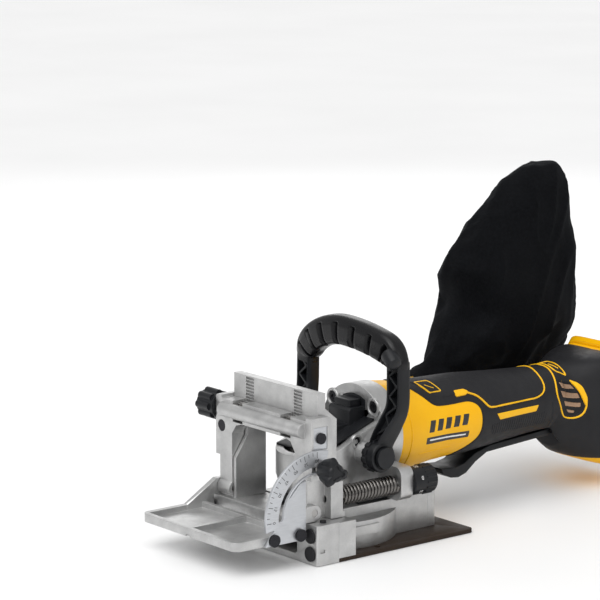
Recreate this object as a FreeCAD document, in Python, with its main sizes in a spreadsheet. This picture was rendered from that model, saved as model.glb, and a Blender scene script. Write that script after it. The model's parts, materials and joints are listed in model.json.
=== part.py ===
import FreeCAD, Part
import math
import os

import Sketcher
from FreeCAD import Placement, Rotation, Vector

# Cordless biscuit joiner.  Millimetres.  +Z is up, the fence and the blade slot face -Y, the battery end
# is +Y, and the origin is on the sole, straight below the blade's spindle at rest.

DIMS = {
    # sliding base
    "base_half": 68.5, "base_front": -56.0, "shoe_back": -35.0, "block_back": -19.0,
    "shoe_top": 30.6, "block_top": 30.0, "housing_half": 42.0, "housing_top": 31.0,
    "housing_back": 75.0, "cap_back": 84.0, "bulge_radius": 57.4, "bulge_shift": 3.8, "bulge_top": 23.5,
    "sole_thick": 2.8, "sole_back": 100.0, "sole_corner": 5.0, "sole_hole_x": 61.0, "sole_hole_y": 8.0,
    "sole_hole_radius": 2.5, "sole_screw_radius": 2.2, "sole_screw_head": 4.2,
    "slot_half": 44.5, "slot_low": 6.2, "slot_high": 14.0, "chamber_top": 16.0, "shoe_floor": 5.0,
    "pad_radius": 5.5, "pad_x": 60.5, "pad_high": 21.7, "pad_low": 8.1, "pad_proud": 1.3,
    "plunge": 25.0,
    # blade and drive
    "blade_low": 8.0, "blade_high": 12.0, "blade_room": 53.0,
    "spindle_radius": 6.0, "arbor_radius": 5.0, "motor_height": 75.5, "gear_radius": 21.0,
    "pinion_radius": 7.0, "face_width": 6.5, "shaft_radius": 4.0, "fit": 0.03,
    # upright with the racks
    "upright_half": 50.5, "upright_front": -41.0, "upright_rear": -34.0, "upright_top": 125.0,
    "window_top": 92.0, "flange_rear": -23.0, "rib_outer": 37.6, "rib_front": -52.0,
    "rack_module": 0.8, "rack_width": 10.0, "rack_left": -31.0, "rack_right": 27.0,
    "rod_x": 49.8, "rod_z": 44.5, "rod_radius": 3.0, "rod_end": 37.5, "spring_radius": 6.8,
    "spring_wire": 0.85, "spring_end": 34.6,
    # fence carriage
    "carriage_half": 58.0, "carriage_front": -53.0, "carriage_back": -41.4, "cheek_back": -33.5,
    "cheek_inner": 50.9, "leg_inner": 38.0, "leg_outer": 53.0, "cheek_low": 62.0, "carriage_top": 106.5,
    "arch_top": 90.0, "hinge_y": -50.0, "hinge_z": 37.5, "knuckle_radius": 6.0, "hinge_pin": 3.0,
    "bar_radius": 5.6, "bar_y": -54.3, "bar_z": 98.9, "shaft_y": -46.6, "shaft_z": 98.0,
    # fence
    "fence_front": -124.0, "fence_rear": -66.0, "fence_low": 20.3, "fence_high": 26.9, "arm_inner": 53.3,
    "ear_front": -58.5,
    "quadrant_inner": 58.3, "quadrant_outer": 60.8, "quadrant_radius": 48.0, "quadrant_bore": 30.6,
    "clamp_radius": 34.0, "clamp_slot": 2.3, "stud_radius": 2.1, "stud_angle": 97.0,
    # gear case and motor
    "head_radius": 32.0, "flange_radius": 38.5, "flange_front": 36.0, "flange_back": 53.0,
    "slide_low": 31.3, "slide_high": 36.0, "lug_front": 35.0, "lug_back": 47.0, "turret_radius": 11.0,
    "turret_back": 69.0, "wall": 2.5, "screw_circle": 34.0,
    # bail handle
    "pivot_y": 20.8, "pivot_z": 68.0, "boss_radius": 11.5, "handle_outer": 62.0, "handle_inner": 45.6,
    "grip_front": 28.4, "grip_rear": 40.3,
    # foot and dust bag
    "foot_half": 38.0, "foot_low": 13.0, "foot_high": 108.0, "foot_back": 312.0,
    "dock_low": 20.5, "dock_high": 104.0,
}

# Two tools that the whole model uses: sizes that remember their cell, and bodies built from sketches.

doc = FreeCAD.newDocument("BiscuitJoiner")
sheet = doc.addObject("Spreadsheet::Sheet", "Dims")


class Size:
    """A size with its value and the spreadsheet expression that it comes from."""

    def __init__(self, value, text):
        self.value = value
        self.text = text

    def __add__(self, other):
        return Size(self.value + number(other), f"({self.text} + {wording(other)})")

    def __radd__(self, other):
        return Size(number(other) + self.value, f"({wording(other)} + {self.text})")

    def __sub__(self, other):
        return Size(self.value - number(other), f"({self.text} - {wording(other)})")

    def __rsub__(self, other):
        return Size(number(other) - self.value, f"({wording(other)} - {self.text})")

    def __mul__(self, other):
        return Size(self.value * number(other), f"({self.text} * {wording(other)})")

    __rmul__ = __mul__

    def __neg__(self):
        return Size(-self.value, f"(0 - {self.text})")


def number(amount):
    return amount.value if isinstance(amount, Size) else float(amount)


def wording(amount):
    return amount.text if isinstance(amount, Size) else f"({float(amount):.6f})"


class Sizes:
    """The driving dimensions by name, each one tied to its cell in the sheet."""


size = Sizes()
for row, (name, amount) in enumerate(DIMS.items(), start=1):
    sheet.set(f"A{row}", name)
    sheet.set(f"B{row}", str(amount))
    sheet.setAlias(f"B{row}", name)
    setattr(size, name, Size(amount, f"Dims.{name}"))
doc.recompute()

SUBPARTS = []
PLANES = {"XY": ("XY_Plane", 1), "XZ": ("XZ_Plane", -1), "YZ": ("YZ_Plane", 1)}


def bind(item, field, amount):
    """Give a property a number, or an expression that keeps it tied to the sheet."""
    if isinstance(amount, Size):
        item.setExpression(field, amount.text)
    else:
        setattr(item, field, amount)


def put(item, position, rotation=None):
    """Place an item, with each coordinate that is a Size tied to the sheet."""
    item.Placement = Placement(Vector(*[number(c) for c in position]), rotation or Rotation())
    for axis, coordinate in zip("xyz", position):
        if isinstance(coordinate, Size):
            item.setExpression(f".Placement.Base.{axis}", coordinate.text)


class Outline:
    """A closed run of straight lines in a sketch, through the corners given."""

    def __init__(self, *corners):
        self.corners = corners

    def draw(self, sketch):
        count = len(self.corners)
        first = sketch.GeometryCount
        spots = [Vector(number(x), number(y), 0) for x, y in self.corners]
        lines = [Part.LineSegment(spots[i], spots[(i + 1) % count]) for i in range(count)]
        sketch.addGeometry(lines, False)
        for i, (x, y) in enumerate(self.corners):
            sketch.addConstraint(Sketcher.Constraint("Coincident", first + i, 2, first + (i + 1) % count, 1))
            for way, amount in (("DistanceX", x), ("DistanceY", y)):
                spot = sketch.addConstraint(Sketcher.Constraint(way, -1, 1, first + i, 1, number(amount)))
                if isinstance(amount, Size):
                    sketch.setExpression(f"Constraints[{spot}]", amount.text)


class Circle:
    """A circle in a sketch."""

    def __init__(self, x, y, radius):
        self.centre = (x, y)
        self.radius = radius

    def draw(self, sketch):
        centre = Vector(number(self.centre[0]), number(self.centre[1]), 0)
        first = sketch.addGeometry(Part.Circle(centre, Vector(0, 0, 1), number(self.radius)), False)
        for way, amount in zip(("DistanceX", "DistanceY"), self.centre):
            spot = sketch.addConstraint(Sketcher.Constraint(way, -1, 1, first, 3, number(amount)))
            if isinstance(amount, Size):
                sketch.setExpression(f"Constraints[{spot}]", amount.text)
        spot = sketch.addConstraint(Sketcher.Constraint("Radius", first, number(self.radius)))
        if isinstance(self.radius, Size):
            sketch.setExpression(f"Constraints[{spot}]", self.radius.text)


def rectangle(x0, y0, x1, y1):
    return Outline((x0, y0), (x1, y0), (x1, y1), (x0, y1))


class Piece:
    """A sub-part: one PartDesign body, built feature by feature."""

    def __init__(self, label, position=(0, 0, 0), rotation=None):
        self.body = doc.addObject("PartDesign::Body", label)
        self.body.Label = label
        put(self.body, position, rotation)
        SUBPARTS.append(self.body)

    def sketch(self, plane, level, loops):
        role, direction = PLANES[plane]
        sketch = self.body.newObject("Sketcher::SketchObject", f"{self.body.Label}_sketch")
        support = next(item for item in self.body.Origin.OriginFeatures if item.Role == role)
        sketch.AttachmentSupport = (support, [""])
        sketch.MapMode = "FlatFace"
        offset = level * direction if isinstance(level, Size) else float(level) * direction
        sketch.AttachmentOffset = Placement(Vector(0, 0, number(offset)), Rotation())
        if isinstance(offset, Size):
            sketch.setExpression(".AttachmentOffset.Base.z", offset.text)
        for loop in loops:
            loop.draw(sketch)
        return sketch

    def pad(self, plane, start, end, *loops):
        """Add the outline, drawn square to an axis, from one coordinate on that axis to a higher one."""
        sketch = self.sketch(plane, start, loops)
        feature = self.body.newObject("PartDesign::Pad", f"{self.body.Label}_pad")
        feature.Profile = sketch
        bind(feature, "Length", end - start)
        feature.Reversed = PLANES[plane][1] < 0
        return feature

    def pocket(self, plane, start, end, *loops):
        """Cut the outline from one coordinate to a higher one, and make sure that it cut something."""
        doc.recompute()
        before = self.body.Shape.Volume
        sketch = self.sketch(plane, start, loops)
        feature = self.body.newObject("PartDesign::Pocket", f"{self.body.Label}_pocket")
        feature.Profile = sketch
        bind(feature, "Length", end - start)
        feature.Reversed = PLANES[plane][1] > 0
        doc.recompute()
        if self.body.Shape.Volume > before - 0.01:
            raise RuntimeError(f"a pocket in {self.body.Label} cuts nothing")
        return feature

    def turn(self, plane, axis, *loops, angle=360.0, flip=False):
        """Add the outline turned about the sketch's horizontal ("H") or vertical ("V") axis."""
        sketch = self.sketch(plane, 0, loops)
        feature = self.body.newObject("PartDesign::Revolution", f"{self.body.Label}_turn")
        feature.Profile = sketch
        feature.ReferenceAxis = (sketch, [f"{axis}_Axis"])
        feature.Angle = angle
        feature.Reversed = flip
        return feature

    def around(self, feature, axis, count):
        """Repeat a feature evenly about one of the body's own axes."""
        pattern = self.body.newObject("PartDesign::PolarPattern", f"{self.body.Label}_around")
        pattern.Originals = [feature]
        line = next(item for item in self.body.Origin.OriginFeatures if item.Role == f"{axis}_Axis")
        pattern.Axis = (line, [""])
        pattern.Angle = 360.0
        pattern.Occurrences = count
        self.body.Tip = pattern
        return pattern

    def along(self, feature, axis, length, count):
        """Repeat a feature evenly along one of the body's own axes."""
        pattern = self.body.newObject("PartDesign::LinearPattern", f"{self.body.Label}_along")
        pattern.Originals = [feature]
        line = next(item for item in self.body.Origin.OriginFeatures if item.Role == f"{axis}_Axis")
        pattern.Direction = (line, [""])
        bind(pattern, "Length", length)
        pattern.Occurrences = count
        self.body.Tip = pattern
        return pattern

    def round_off(self, radius, axis, *corners):
        """Fillet the straight edges parallel to an axis at the given places across it."""
        doc.recompute()
        spots = [tuple(number(c) for c in corner) for corner in corners]
        names = []
        base = self.body.Tip
        for index, edge in enumerate(base.Shape.Edges, start=1):
            if len(edge.Vertexes) != 2 or edge.Curve.TypeId != "Part::GeomLine":
                continue
            ends = [vertex.Point for vertex in edge.Vertexes]
            across = [i for i in range(3) if i != "XYZ".index(axis)]
            level = all(abs(ends[0][i] - ends[1][i]) < 0.01 for i in across)
            place = tuple(ends[0][i] for i in across)
            if level and any(math.dist(place, spot) < 0.2 for spot in spots):
                names.append(f"Edge{index}")
        if not names:
            raise RuntimeError(f"no edge to round in {self.body.Label}")
        fillet = self.body.newObject("PartDesign::Fillet", f"{self.body.Label}_fillet")
        fillet.Base = (base, names)
        bind(fillet, "Radius", radius)
        self.body.Tip = fillet
        return fillet


# ---------------------------------------------------------------- sliding base


def front_shoe():
    """The front block of the base, with the blade's slot in its face."""
    piece = Piece("front_shoe")
    piece.pad("XY", 0, size.shoe_top,
              rectangle(-size.base_half, size.base_front, size.base_half, size.shoe_back))
    piece.round_off(1.5, "Z", (-size.base_half, size.base_front), (size.base_half, size.base_front))
    piece.pocket("XZ", size.base_front, size.base_front + 9,
                 rectangle(-size.slot_half, size.slot_low, size.slot_half, size.slot_high))
    piece.pocket("XY", size.shoe_floor, size.chamber_top, Circle(0, -size.plunge, size.blade_room))
    piece.pocket("XY", 3.2, size.chamber_top, Circle(0, -size.plunge, 16))
    piece.pocket("XY", size.chamber_top, size.shoe_top, Circle(0, -size.plunge, 11.5))
    for side in (-1, 1):
        for level in (size.pad_high, size.pad_low):
            piece.pocket("XZ", size.base_front, size.base_front + 3,
                         Circle(size.pad_x * side, level, size.pad_radius + 0.05))
    piece.pocket("YZ", size.base_half - 1.5, size.base_half, rectangle(-53.0, 9.5, -48.5, 12.0))


def blade_housing():
    """The casting behind the shoe: blade chamber, chip chamber and the tee slots that guide the motor."""
    piece = Piece("blade_housing")
    piece.pad("XY", size.sole_thick, size.block_top,
              rectangle(-size.base_half, size.shoe_back, size.base_half, size.block_back))
    piece.pad("XY", size.sole_thick, size.housing_top,
              rectangle(-size.housing_half, size.block_back - 1, size.housing_half, size.housing_back))
    piece.pad("XY", size.sole_thick, size.bulge_top, Circle(0, size.bulge_shift, size.bulge_radius))
    piece.pocket("XY", size.sole_thick, size.bulge_top,
                 rectangle(-size.bulge_radius, size.base_front, size.bulge_radius, size.shoe_back))
    for side in (-1, 1):
        near, far = sorted((side * 50.0, side * 59.5))
        piece.pad("XY", 13.0, 20.5, rectangle(near, size.block_back - 1, far, 12.0))
    piece.pocket("XY", size.sole_thick, size.chamber_top, Circle(0, 0, size.blade_room))
    piece.pocket("XY", size.sole_thick, size.chamber_top,
                 rectangle(-size.blade_room, size.shoe_back, size.blade_room, 0))
    piece.pocket("XY", size.sole_thick, 21.0, rectangle(-37, 35, 37, size.housing_back))
    piece.pocket("XY", size.chamber_top, size.housing_top, Circle(0, 0, 11.5))
    piece.pocket("XY", size.chamber_top, size.housing_top, rectangle(-11.5, size.shoe_back, 11.5, 0))
    for side in (-1, 1):
        near, far = sorted((side * 30.0, side * 33.0))
        piece.pocket("XY", 26.8, size.housing_top, rectangle(near, size.block_back + 2, far, 72.0))
        near, far = sorted((side * 28.0, side * 35.0))
        piece.pocket("XY", 23.7, 26.8, rectangle(near, size.block_back + 2, far, 72.0))
    piece.pocket("YZ", -size.housing_half, -37, rectangle(52.0, 6.0, 70.0, 20.0))


def rear_cap():
    """The cover that closes the back of the chip chamber."""
    piece = Piece("rear_cap")
    piece.pad("XY", size.sole_thick, size.housing_top,
              rectangle(-size.housing_half, size.housing_back, size.housing_half, size.cap_back))
    piece.round_off(3, "Z", (-size.housing_half, size.cap_back), (size.housing_half, size.cap_back))


def sole_plate():
    """The steel sole under the casting, with its screw holes and two spare holes beside the housing."""
    piece = Piece("sole_plate")
    piece.pad("XY", 0, size.sole_thick,
              rectangle(-size.base_half, size.shoe_back, size.base_half, size.sole_back))
    piece.round_off(size.sole_corner, "Z", (-size.base_half, size.sole_back),
                    (size.base_half, size.sole_back))
    for side in (-1, 1):
        piece.pocket("XY", 0, size.sole_thick,
                     Circle(size.sole_hole_x * side, size.sole_hole_y, size.sole_hole_radius))
        for x, y in SOLE_SCREWS:
            piece.pocket("XY", 1.4, size.sole_thick, Circle(x * side, y, size.sole_screw_radius))
            piece.pocket("XY", 0, 1.4, Circle(x * side, y, size.sole_screw_head))


SOLE_SCREWS = ((61.0, -27.0), (36.0, 79.5))


def sole_screws():
    """Four sunk screws that hold the sole to the casting."""
    piece = Piece("sole_screws")
    for side in (-1, 1):
        for x, y in SOLE_SCREWS:
            piece.pad("XY", 0.2, 1.4, Circle(x * side, y, size.sole_screw_head - 0.05))
            piece.pad("XY", 1.4, size.sole_thick, Circle(x * side, y, size.sole_screw_radius - 0.05))


def anti_slip_pads():
    """Four rubber buttons that stop the front face from sliding on the work."""
    piece = Piece("anti_slip_pads")
    for side in (-1, 1):
        for level in (size.pad_high, size.pad_low):
            piece.pad("XZ", size.base_front - size.pad_proud, size.base_front + 2.9,
                      Circle(size.pad_x * side, level, size.pad_radius))


def rack_upright():
    """The post behind the carriage: a windowed plate with two racks, side flanges and the spring's block."""
    piece = Piece("rack_upright")
    piece.pad("XZ", size.upright_front, size.upright_rear,
              rectangle(-size.upright_half, size.shoe_top, size.upright_half, size.upright_top))
    for side in (-1, 1):
        near, far = sorted((number(size.upright_half) * side, 46.5 * side))
        piece.pad("YZ", near, far,
                  Outline((size.upright_rear - 1, size.shoe_top), (size.flange_rear, size.shoe_top),
                          (size.flange_rear, 104.0), (size.upright_rear - 1, 114.0)))
        near, far = sorted((number(size.rib_outer) * side, 34.4 * side))
        piece.pad("YZ", near, far,
                  Outline((size.rib_front, size.shoe_top), (size.flange_rear, size.shoe_top),
                          (size.flange_rear, 96.0), (size.upright_front + 1, 96.0),
                          (size.upright_front + 1, 80.0), (size.rib_front, 62.0)))
    piece.pad("XY", size.shoe_top, 58.0,
              rectangle(37.0, size.upright_rear - 0.5, size.carriage_half, size.flange_rear))
    piece.pocket("XZ", size.rib_front, size.flange_rear,
                 rectangle(-34.4, size.shoe_top, 34.4, size.window_top))
    pitch = size.rack_module * math.pi
    depth = size.rack_module * 2.25
    low = size.shaft_z - pitch
    count = 12
    for middle in (size.rack_left, size.rack_right):
        half = size.rack_width * 0.5
        tooth_space = Outline((size.upright_front, low - pitch * 0.40),
                              (size.upright_front, low + pitch * 0.40),
                              (size.upright_front + depth, low + pitch * 0.13),
                              (size.upright_front + depth, low - pitch * 0.13))
        space = piece.pocket("YZ", middle - half, middle + half, tooth_space)
        piece.along(space, "Z", pitch * (count - 1), count)
    piece.pocket("XZ", size.upright_rear - 0.5, size.flange_rear,
                 Circle(size.rod_x, size.rod_z, size.rod_radius + 0.02))


def upright_feet():
    """Two cast feet that tie the upright to the block behind it, each with its screw's seat."""
    piece = Piece("upright_feet")
    for side in (-1, 1):
        near, far = sorted((39.0 * side, 57.0 * side))
        piece.pad("XY", size.block_top, 35.0, rectangle(near, size.flange_rear + 0.1, far, -20.1))


def upright_screws():
    """The two screws that come up through the shoe's top, beside the upright."""
    piece = Piece("upright_screws")
    for side in (-1, 1):
        piece.pad("XY", size.shoe_top, size.shoe_top + 1.6, Circle(61.5 * side, -45.0, 2.4))


def depth_rod():
    """The steel rod that the motor unit's lug runs on, and that the depth turret stops against."""
    piece = Piece("depth_rod")
    piece.pad("XZ", size.upright_rear + 0.6, size.rod_end, Circle(size.rod_x, size.rod_z, size.rod_radius))


def return_spring():
    """The coil spring round the rod that pushes the motor unit back after a cut."""
    helix = doc.addObject("Part::Helix", "spring_line")
    length = size.spring_end - size.flange_rear - size.spring_wire * 2 - 0.6
    helix.Pitch = number(length) / 14.5
    helix.setExpression("Pitch", f"{length.text} / 14.5")
    helix.setExpression("Height", length.text)
    helix.setExpression("Radius", size.spring_radius.text)
    wire = doc.addObject("Part::Circle", "spring_wire_section")
    wire.setExpression("Radius", size.spring_wire.text)
    put(wire, (size.spring_radius, 0, 0), Rotation(Vector(1, 0, 0), 90))
    doc.recompute()
    spring = doc.addObject("Part::Sweep", "return_spring")
    spring.Label = "return_spring"
    spring.Sections = [wire]
    spring.Spine = (helix, ["Edge1"])
    spring.Solid = True
    spring.Frenet = True
    put(spring, (size.rod_x, size.flange_rear + size.spring_wire + 0.3, size.rod_z),
        Rotation(Vector(1, 0, 0), -90))
    SUBPARTS.append(spring)


def dust_port():
    """The black spout on the far side that turns the chips up into the bag."""
    piece = Piece("dust_port")
    piece.pad("YZ", -53.0, -size.housing_half, rectangle(48.0, 5.0, 74.0, 22.0))
    piece.pocket("YZ", -50.0, -size.housing_half, rectangle(52.0, 8.0, 70.0, 19.5))
    piece.pad("YZ", -80.0, -50.0,
              Outline((48.0, 5.0), (74.0, 5.0), (128.0, 42.0), (128.0, 66.0), (110.0, 66.0), (48.0, 22.0)))
    piece.pocket("YZ", -77.0, -53.0,
                 Outline((51.0, 8.0), (73.0, 8.0), (125.0, 43.5), (125.0, 63.0), (111.0, 63.0),
                         (51.0, 20.4)))
    piece.pocket("YZ", -53.0, -49.0, rectangle(52.0, 8.5, 70.0, 19.5))
    piece.pocket("XY", 60.0, 66.0, rectangle(-75.0, 112.5, -55.0, 124.0))


def bag_parts():
    """The bag's clip-on collar, and the bag as one closed soft solid that stands up and leans back."""
    collar = Piece("bag_collar")
    collar.pad("XY", 66.3, 84.0, rectangle(-80.0, 108.0, -50.0, 130.0))
    collar.pocket("XY", 66.3, 84.0, rectangle(-76.0, 112.0, -54.0, 126.0))
    rings = [rounded_ring(*section) for section in BAG_SECTIONS]
    bag = doc.addObject("Part::Feature", "dust_bag")
    bag.Label = "dust_bag"
    bag.Shape = Part.makeLoft(rings, True, True)
    SUBPARTS.append(bag)


# each section of the bag: height, front Y, back Y, X of the side by the tool, X of the far side
BAG_SECTIONS = (
    (84.3, 106.0, 150.0, -49.0, -83.0),
    (94.0, 136.0, 296.0, -45.0, -94.0),
    (110.0, 150.0, 318.0, -42.0, -104.0),
    (150.0, 166.0, 330.0, -42.0, -108.0),
    (188.0, 180.0, 330.0, -44.0, -104.0),
    (212.0, 206.0, 322.0, -50.0, -98.0),
    (236.0, 248.0, 310.0, -58.0, -90.0),
    (255.0, 280.0, 302.0, -66.0, -82.0),
)


def rounded_ring(height, front, back, near, far):
    """A level wire, rectangular with rounded corners."""
    corner = 0.42 * min(back - front, near - far)
    spots = ((near, front), (near, back), (far, back), (far, front))
    edges = []
    for i, (x, y) in enumerate(spots):
        before, after = spots[i - 1], spots[(i + 1) % 4]
        arms = []
        for other in (before, after):
            run = Vector(other[0] - x, other[1] - y, 0).normalize()
            arms.append(Vector(x, y, height) + run * corner)
        inward = (arms[0] + arms[1] - Vector(x, y, height) * 2)
        middle = Vector(x, y, height) + inward * (1 - math.sqrt(0.5))
        edges.append((arms[0], middle, arms[1]))
    wire = []
    for i, (start, middle, end) in enumerate(edges):
        wire.append(Part.Arc(start, middle, end).toShape())
        wire.append(Part.LineSegment(end, edges[(i + 1) % 4][0]).toShape())
    return Part.Wire(wire)


# ---------------------------------------------------------------- fence carriage


def carriage():
    """The arched frame that slides up and down on the upright and carries the fence's hinge."""
    piece = Piece("carriage")
    front, back = size.carriage_front, size.carriage_back
    piece.pad("XZ", front, back,
              rectangle(-size.carriage_half, size.cheek_low, size.carriage_half, size.carriage_top))
    for side in (-1, 1):
        near, far = sorted((number(size.leg_inner) * side, number(size.leg_outer) * side))
        piece.pad("XZ", front, back, rectangle(near, size.hinge_z, far, size.cheek_low + 1))
        piece.pad("YZ", near, far, Circle(size.hinge_y, size.hinge_z, size.knuckle_radius))
        near, far = sorted((number(size.cheek_inner) * side, number(size.carriage_half) * side))
        piece.pad("YZ", near, far, rectangle(front, size.cheek_low, size.cheek_back, 109.0))
    piece.pad("YZ", -48.0, 50.0, Circle(size.bar_y, size.bar_z, size.bar_radius))
    piece.round_off(4, "X", (size.cheek_back, 109.0))
    piece.round_off(3, "Y", (-size.carriage_half, size.carriage_top), (-size.carriage_half, 109.0))
    piece.pocket("XZ", front, back,
                 Outline((-size.leg_inner, size.hinge_z - 7), (size.leg_inner, size.hinge_z - 7),
                         (size.leg_inner, size.arch_top - 9), (size.leg_inner - 5, size.arch_top - 2),
                         (size.leg_inner - 12, size.arch_top), (-size.leg_inner + 12, size.arch_top),
                         (-size.leg_inner + 5, size.arch_top - 2), (-size.leg_inner, size.arch_top - 9)))
    piece.pocket("YZ", -size.carriage_half, size.rack_right + 7,
                 Circle(size.shaft_y, size.shaft_z, size.shaft_radius + size.fit))
    for middle in (size.rack_left, size.rack_right):
        half = size.rack_width * 0.5 + 1
        piece.pocket("YZ", middle - half, middle + half,
                     rectangle(size.shaft_y - 7.6, size.shaft_z - 7.6, back, size.carriage_top))
    for side in (-1, 1):
        near, far = sorted((number(size.leg_inner) * side, number(size.leg_outer) * side))
        piece.pocket("YZ", near, far, Circle(size.hinge_y, size.hinge_z, size.hinge_pin))
    stud_y, stud_z = stud_place()
    piece.pocket("YZ", 50.0, size.carriage_half, Circle(stud_y, stud_z, size.stud_radius))
    piece.pocket("YZ", size.carriage_half - 1.5, size.carriage_half, rectangle(-51.0, 85.0, -38.0, 102.0))
    piece.pocket("XZ", front, front + 2, Circle(-51.0, 85.0, 4.6))


def stud_place():
    """Where the clamp's stud stands: on the quadrant's slot, a little behind straight up."""
    angle = math.radians(number(size.stud_angle))
    return (size.hinge_y - size.clamp_radius * math.cos(angle),
            size.hinge_z + size.clamp_radius * math.sin(angle))


def carriage_screws():
    """The black screws in the carriage's face and in its scale."""
    piece = Piece("carriage_screws")
    piece.pad("XZ", size.carriage_front + 0.4, size.carriage_front + 2, Circle(-51.0, 85.0, 4.4))
    piece.pad("YZ", size.carriage_half - 0.5, size.carriage_half + 1.2, Circle(-44.2, 93.5, 4.2))


def height_scale():
    """The small height scale let into the carriage's side."""
    piece = Piece("height_scale")
    piece.pad("YZ", size.carriage_half - 1.5, size.carriage_half - 0.5, rectangle(-50.8, 85.2, -38.2, 101.8))


def hinge_pins():
    """The two pins that the fence tilts on."""
    piece = Piece("hinge_pins")
    for side in (-1, 1):
        near, far = sorted((40.0 * side, 57.6 * side))
        piece.pad("YZ", near, far, Circle(size.hinge_y, size.hinge_z, size.hinge_pin))


def clamp_stud():
    """The stud that the quadrant slides past and the clamp knob screws on."""
    piece = Piece("clamp_stud")
    piece.pad("YZ", 50.5, 74.0, Circle(*stud_place(), size.stud_radius))


def pinion_shaft():
    """The cross shaft with the two small pinions that climb the racks."""
    piece = Piece("pinion_shaft", (0, size.shaft_y, size.shaft_z))
    piece.pad("YZ", -64.0, size.rack_right + 7, Circle(0, 0, size.shaft_radius))
    pitch_radius = size.rack_module * 8
    root = pitch_radius - size.rack_module * 1.2
    tip = pitch_radius + size.rack_module * 0.85
    for middle in (size.rack_left, size.rack_right):
        low, high = middle - size.rack_width * 0.42, middle + size.rack_width * 0.42
        piece.pad("YZ", low, high, Circle(0, 0, root))
        tooth = piece.pad("YZ", low, high,
                          Outline((root - 0.6, -size.rack_module), (pitch_radius, -size.rack_module * 0.6),
                                  (tip, -size.rack_module * 0.26), (tip, size.rack_module * 0.26),
                                  (pitch_radius, size.rack_module * 0.6), (root - 0.6, size.rack_module)))
        piece.around(tooth, "X", 16)


def height_knob():
    """The lobed knob on the far end of the pinion shaft."""
    piece = Piece("height_knob", (0, size.shaft_y, size.shaft_z))
    piece.pad("YZ", -78.0, -58.6, Circle(0, 0, 10.0))
    lobe = piece.pad("YZ", -77.0, -62.0, Circle(0, 9.0, 3.0))
    piece.around(lobe, "X", 8)
    piece.pocket("YZ", -64.0, -58.6, Circle(0, 0, size.shaft_radius))


# ---------------------------------------------------------------- fence


def fence_plate():
    """The tilting fence: a ribbed plate with an arm at each end that rises to the hinge."""
    piece = Piece("fence_plate")
    half = size.carriage_half
    piece.pad("XY", size.fence_low, size.fence_high,
              rectangle(-half, size.fence_front, half, size.fence_rear))
    piece.round_off(6, "Z", (-half, size.fence_front), (half, size.fence_front))
    for x0, x1 in ((-53.5, -2.0), (2.0, 53.5)):
        piece.pocket("XY", size.fence_low + 2.4, size.fence_high,
                     rectangle(x0, size.fence_front + 4, x1, size.fence_rear - 4))
    for side in (-1, 1):
        near, far = sorted((number(size.arm_inner) * side, number(half) * side))
        piece.pad("YZ", near, far,
                  Outline((-84.0, size.fence_low), (size.ear_front, size.fence_low), (size.ear_front, 42.1),
                          (-84.0, size.fence_high)))
    piece.pocket("XZ", size.fence_front, size.fence_front + 2,
                 rectangle(-2.5, size.fence_low, 2.5, size.fence_low + 1.6))


def hinge_ears():
    """The two ears behind the fence's arms, which turn on the hinge pins."""
    piece = Piece("hinge_ears")
    for side in (-1, 1):
        near, far = sorted((number(size.arm_inner) * side, number(size.carriage_half) * side))
        piece.pad("YZ", near, far,
                  Outline((size.ear_front, 31.3), (size.hinge_y, 31.5), (size.hinge_y, 43.5), (-56.0, 43.5),
                          (size.ear_front, 42.1)))
        piece.pad("YZ", near, far, Circle(size.hinge_y, size.hinge_z, size.knuckle_radius))
        piece.pocket("YZ", near, far, Circle(size.hinge_y, size.hinge_z, size.hinge_pin + size.fit))


def angle_quadrant():
    """The slotted quadrant plate with the angle scale."""
    piece = Piece("angle_quadrant")
    low, high = size.quadrant_inner, size.quadrant_outer
    piece.pad("YZ", low, high, sector(size.quadrant_radius, -8.0, 103.0, size.quadrant_bore))
    piece.pad("YZ", low, high,
              Outline((-98.0, size.fence_low), (-60.5, size.fence_low), (-60.5, 65.0), (-66.0, 63.0),
                      (-80.0, 49.0), (-87.0, 36.0)))
    piece.pocket("YZ", low, high, sector(size.clamp_radius + size.clamp_slot, 3.0, size.stud_angle,
                                         size.clamp_radius - size.clamp_slot))
    for angle in (3.0, number(size.stud_angle)):
        spot = arc_point(size.clamp_radius, angle)
        piece.pocket("YZ", low, high, Circle(*spot, size.clamp_slot))


def arc_point(radius, degrees):
    """A point on an arc about the hinge, counted up from straight ahead."""
    angle = math.radians(number(degrees))
    return (size.hinge_y - radius * math.cos(angle), size.hinge_z + radius * math.sin(angle))


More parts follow.
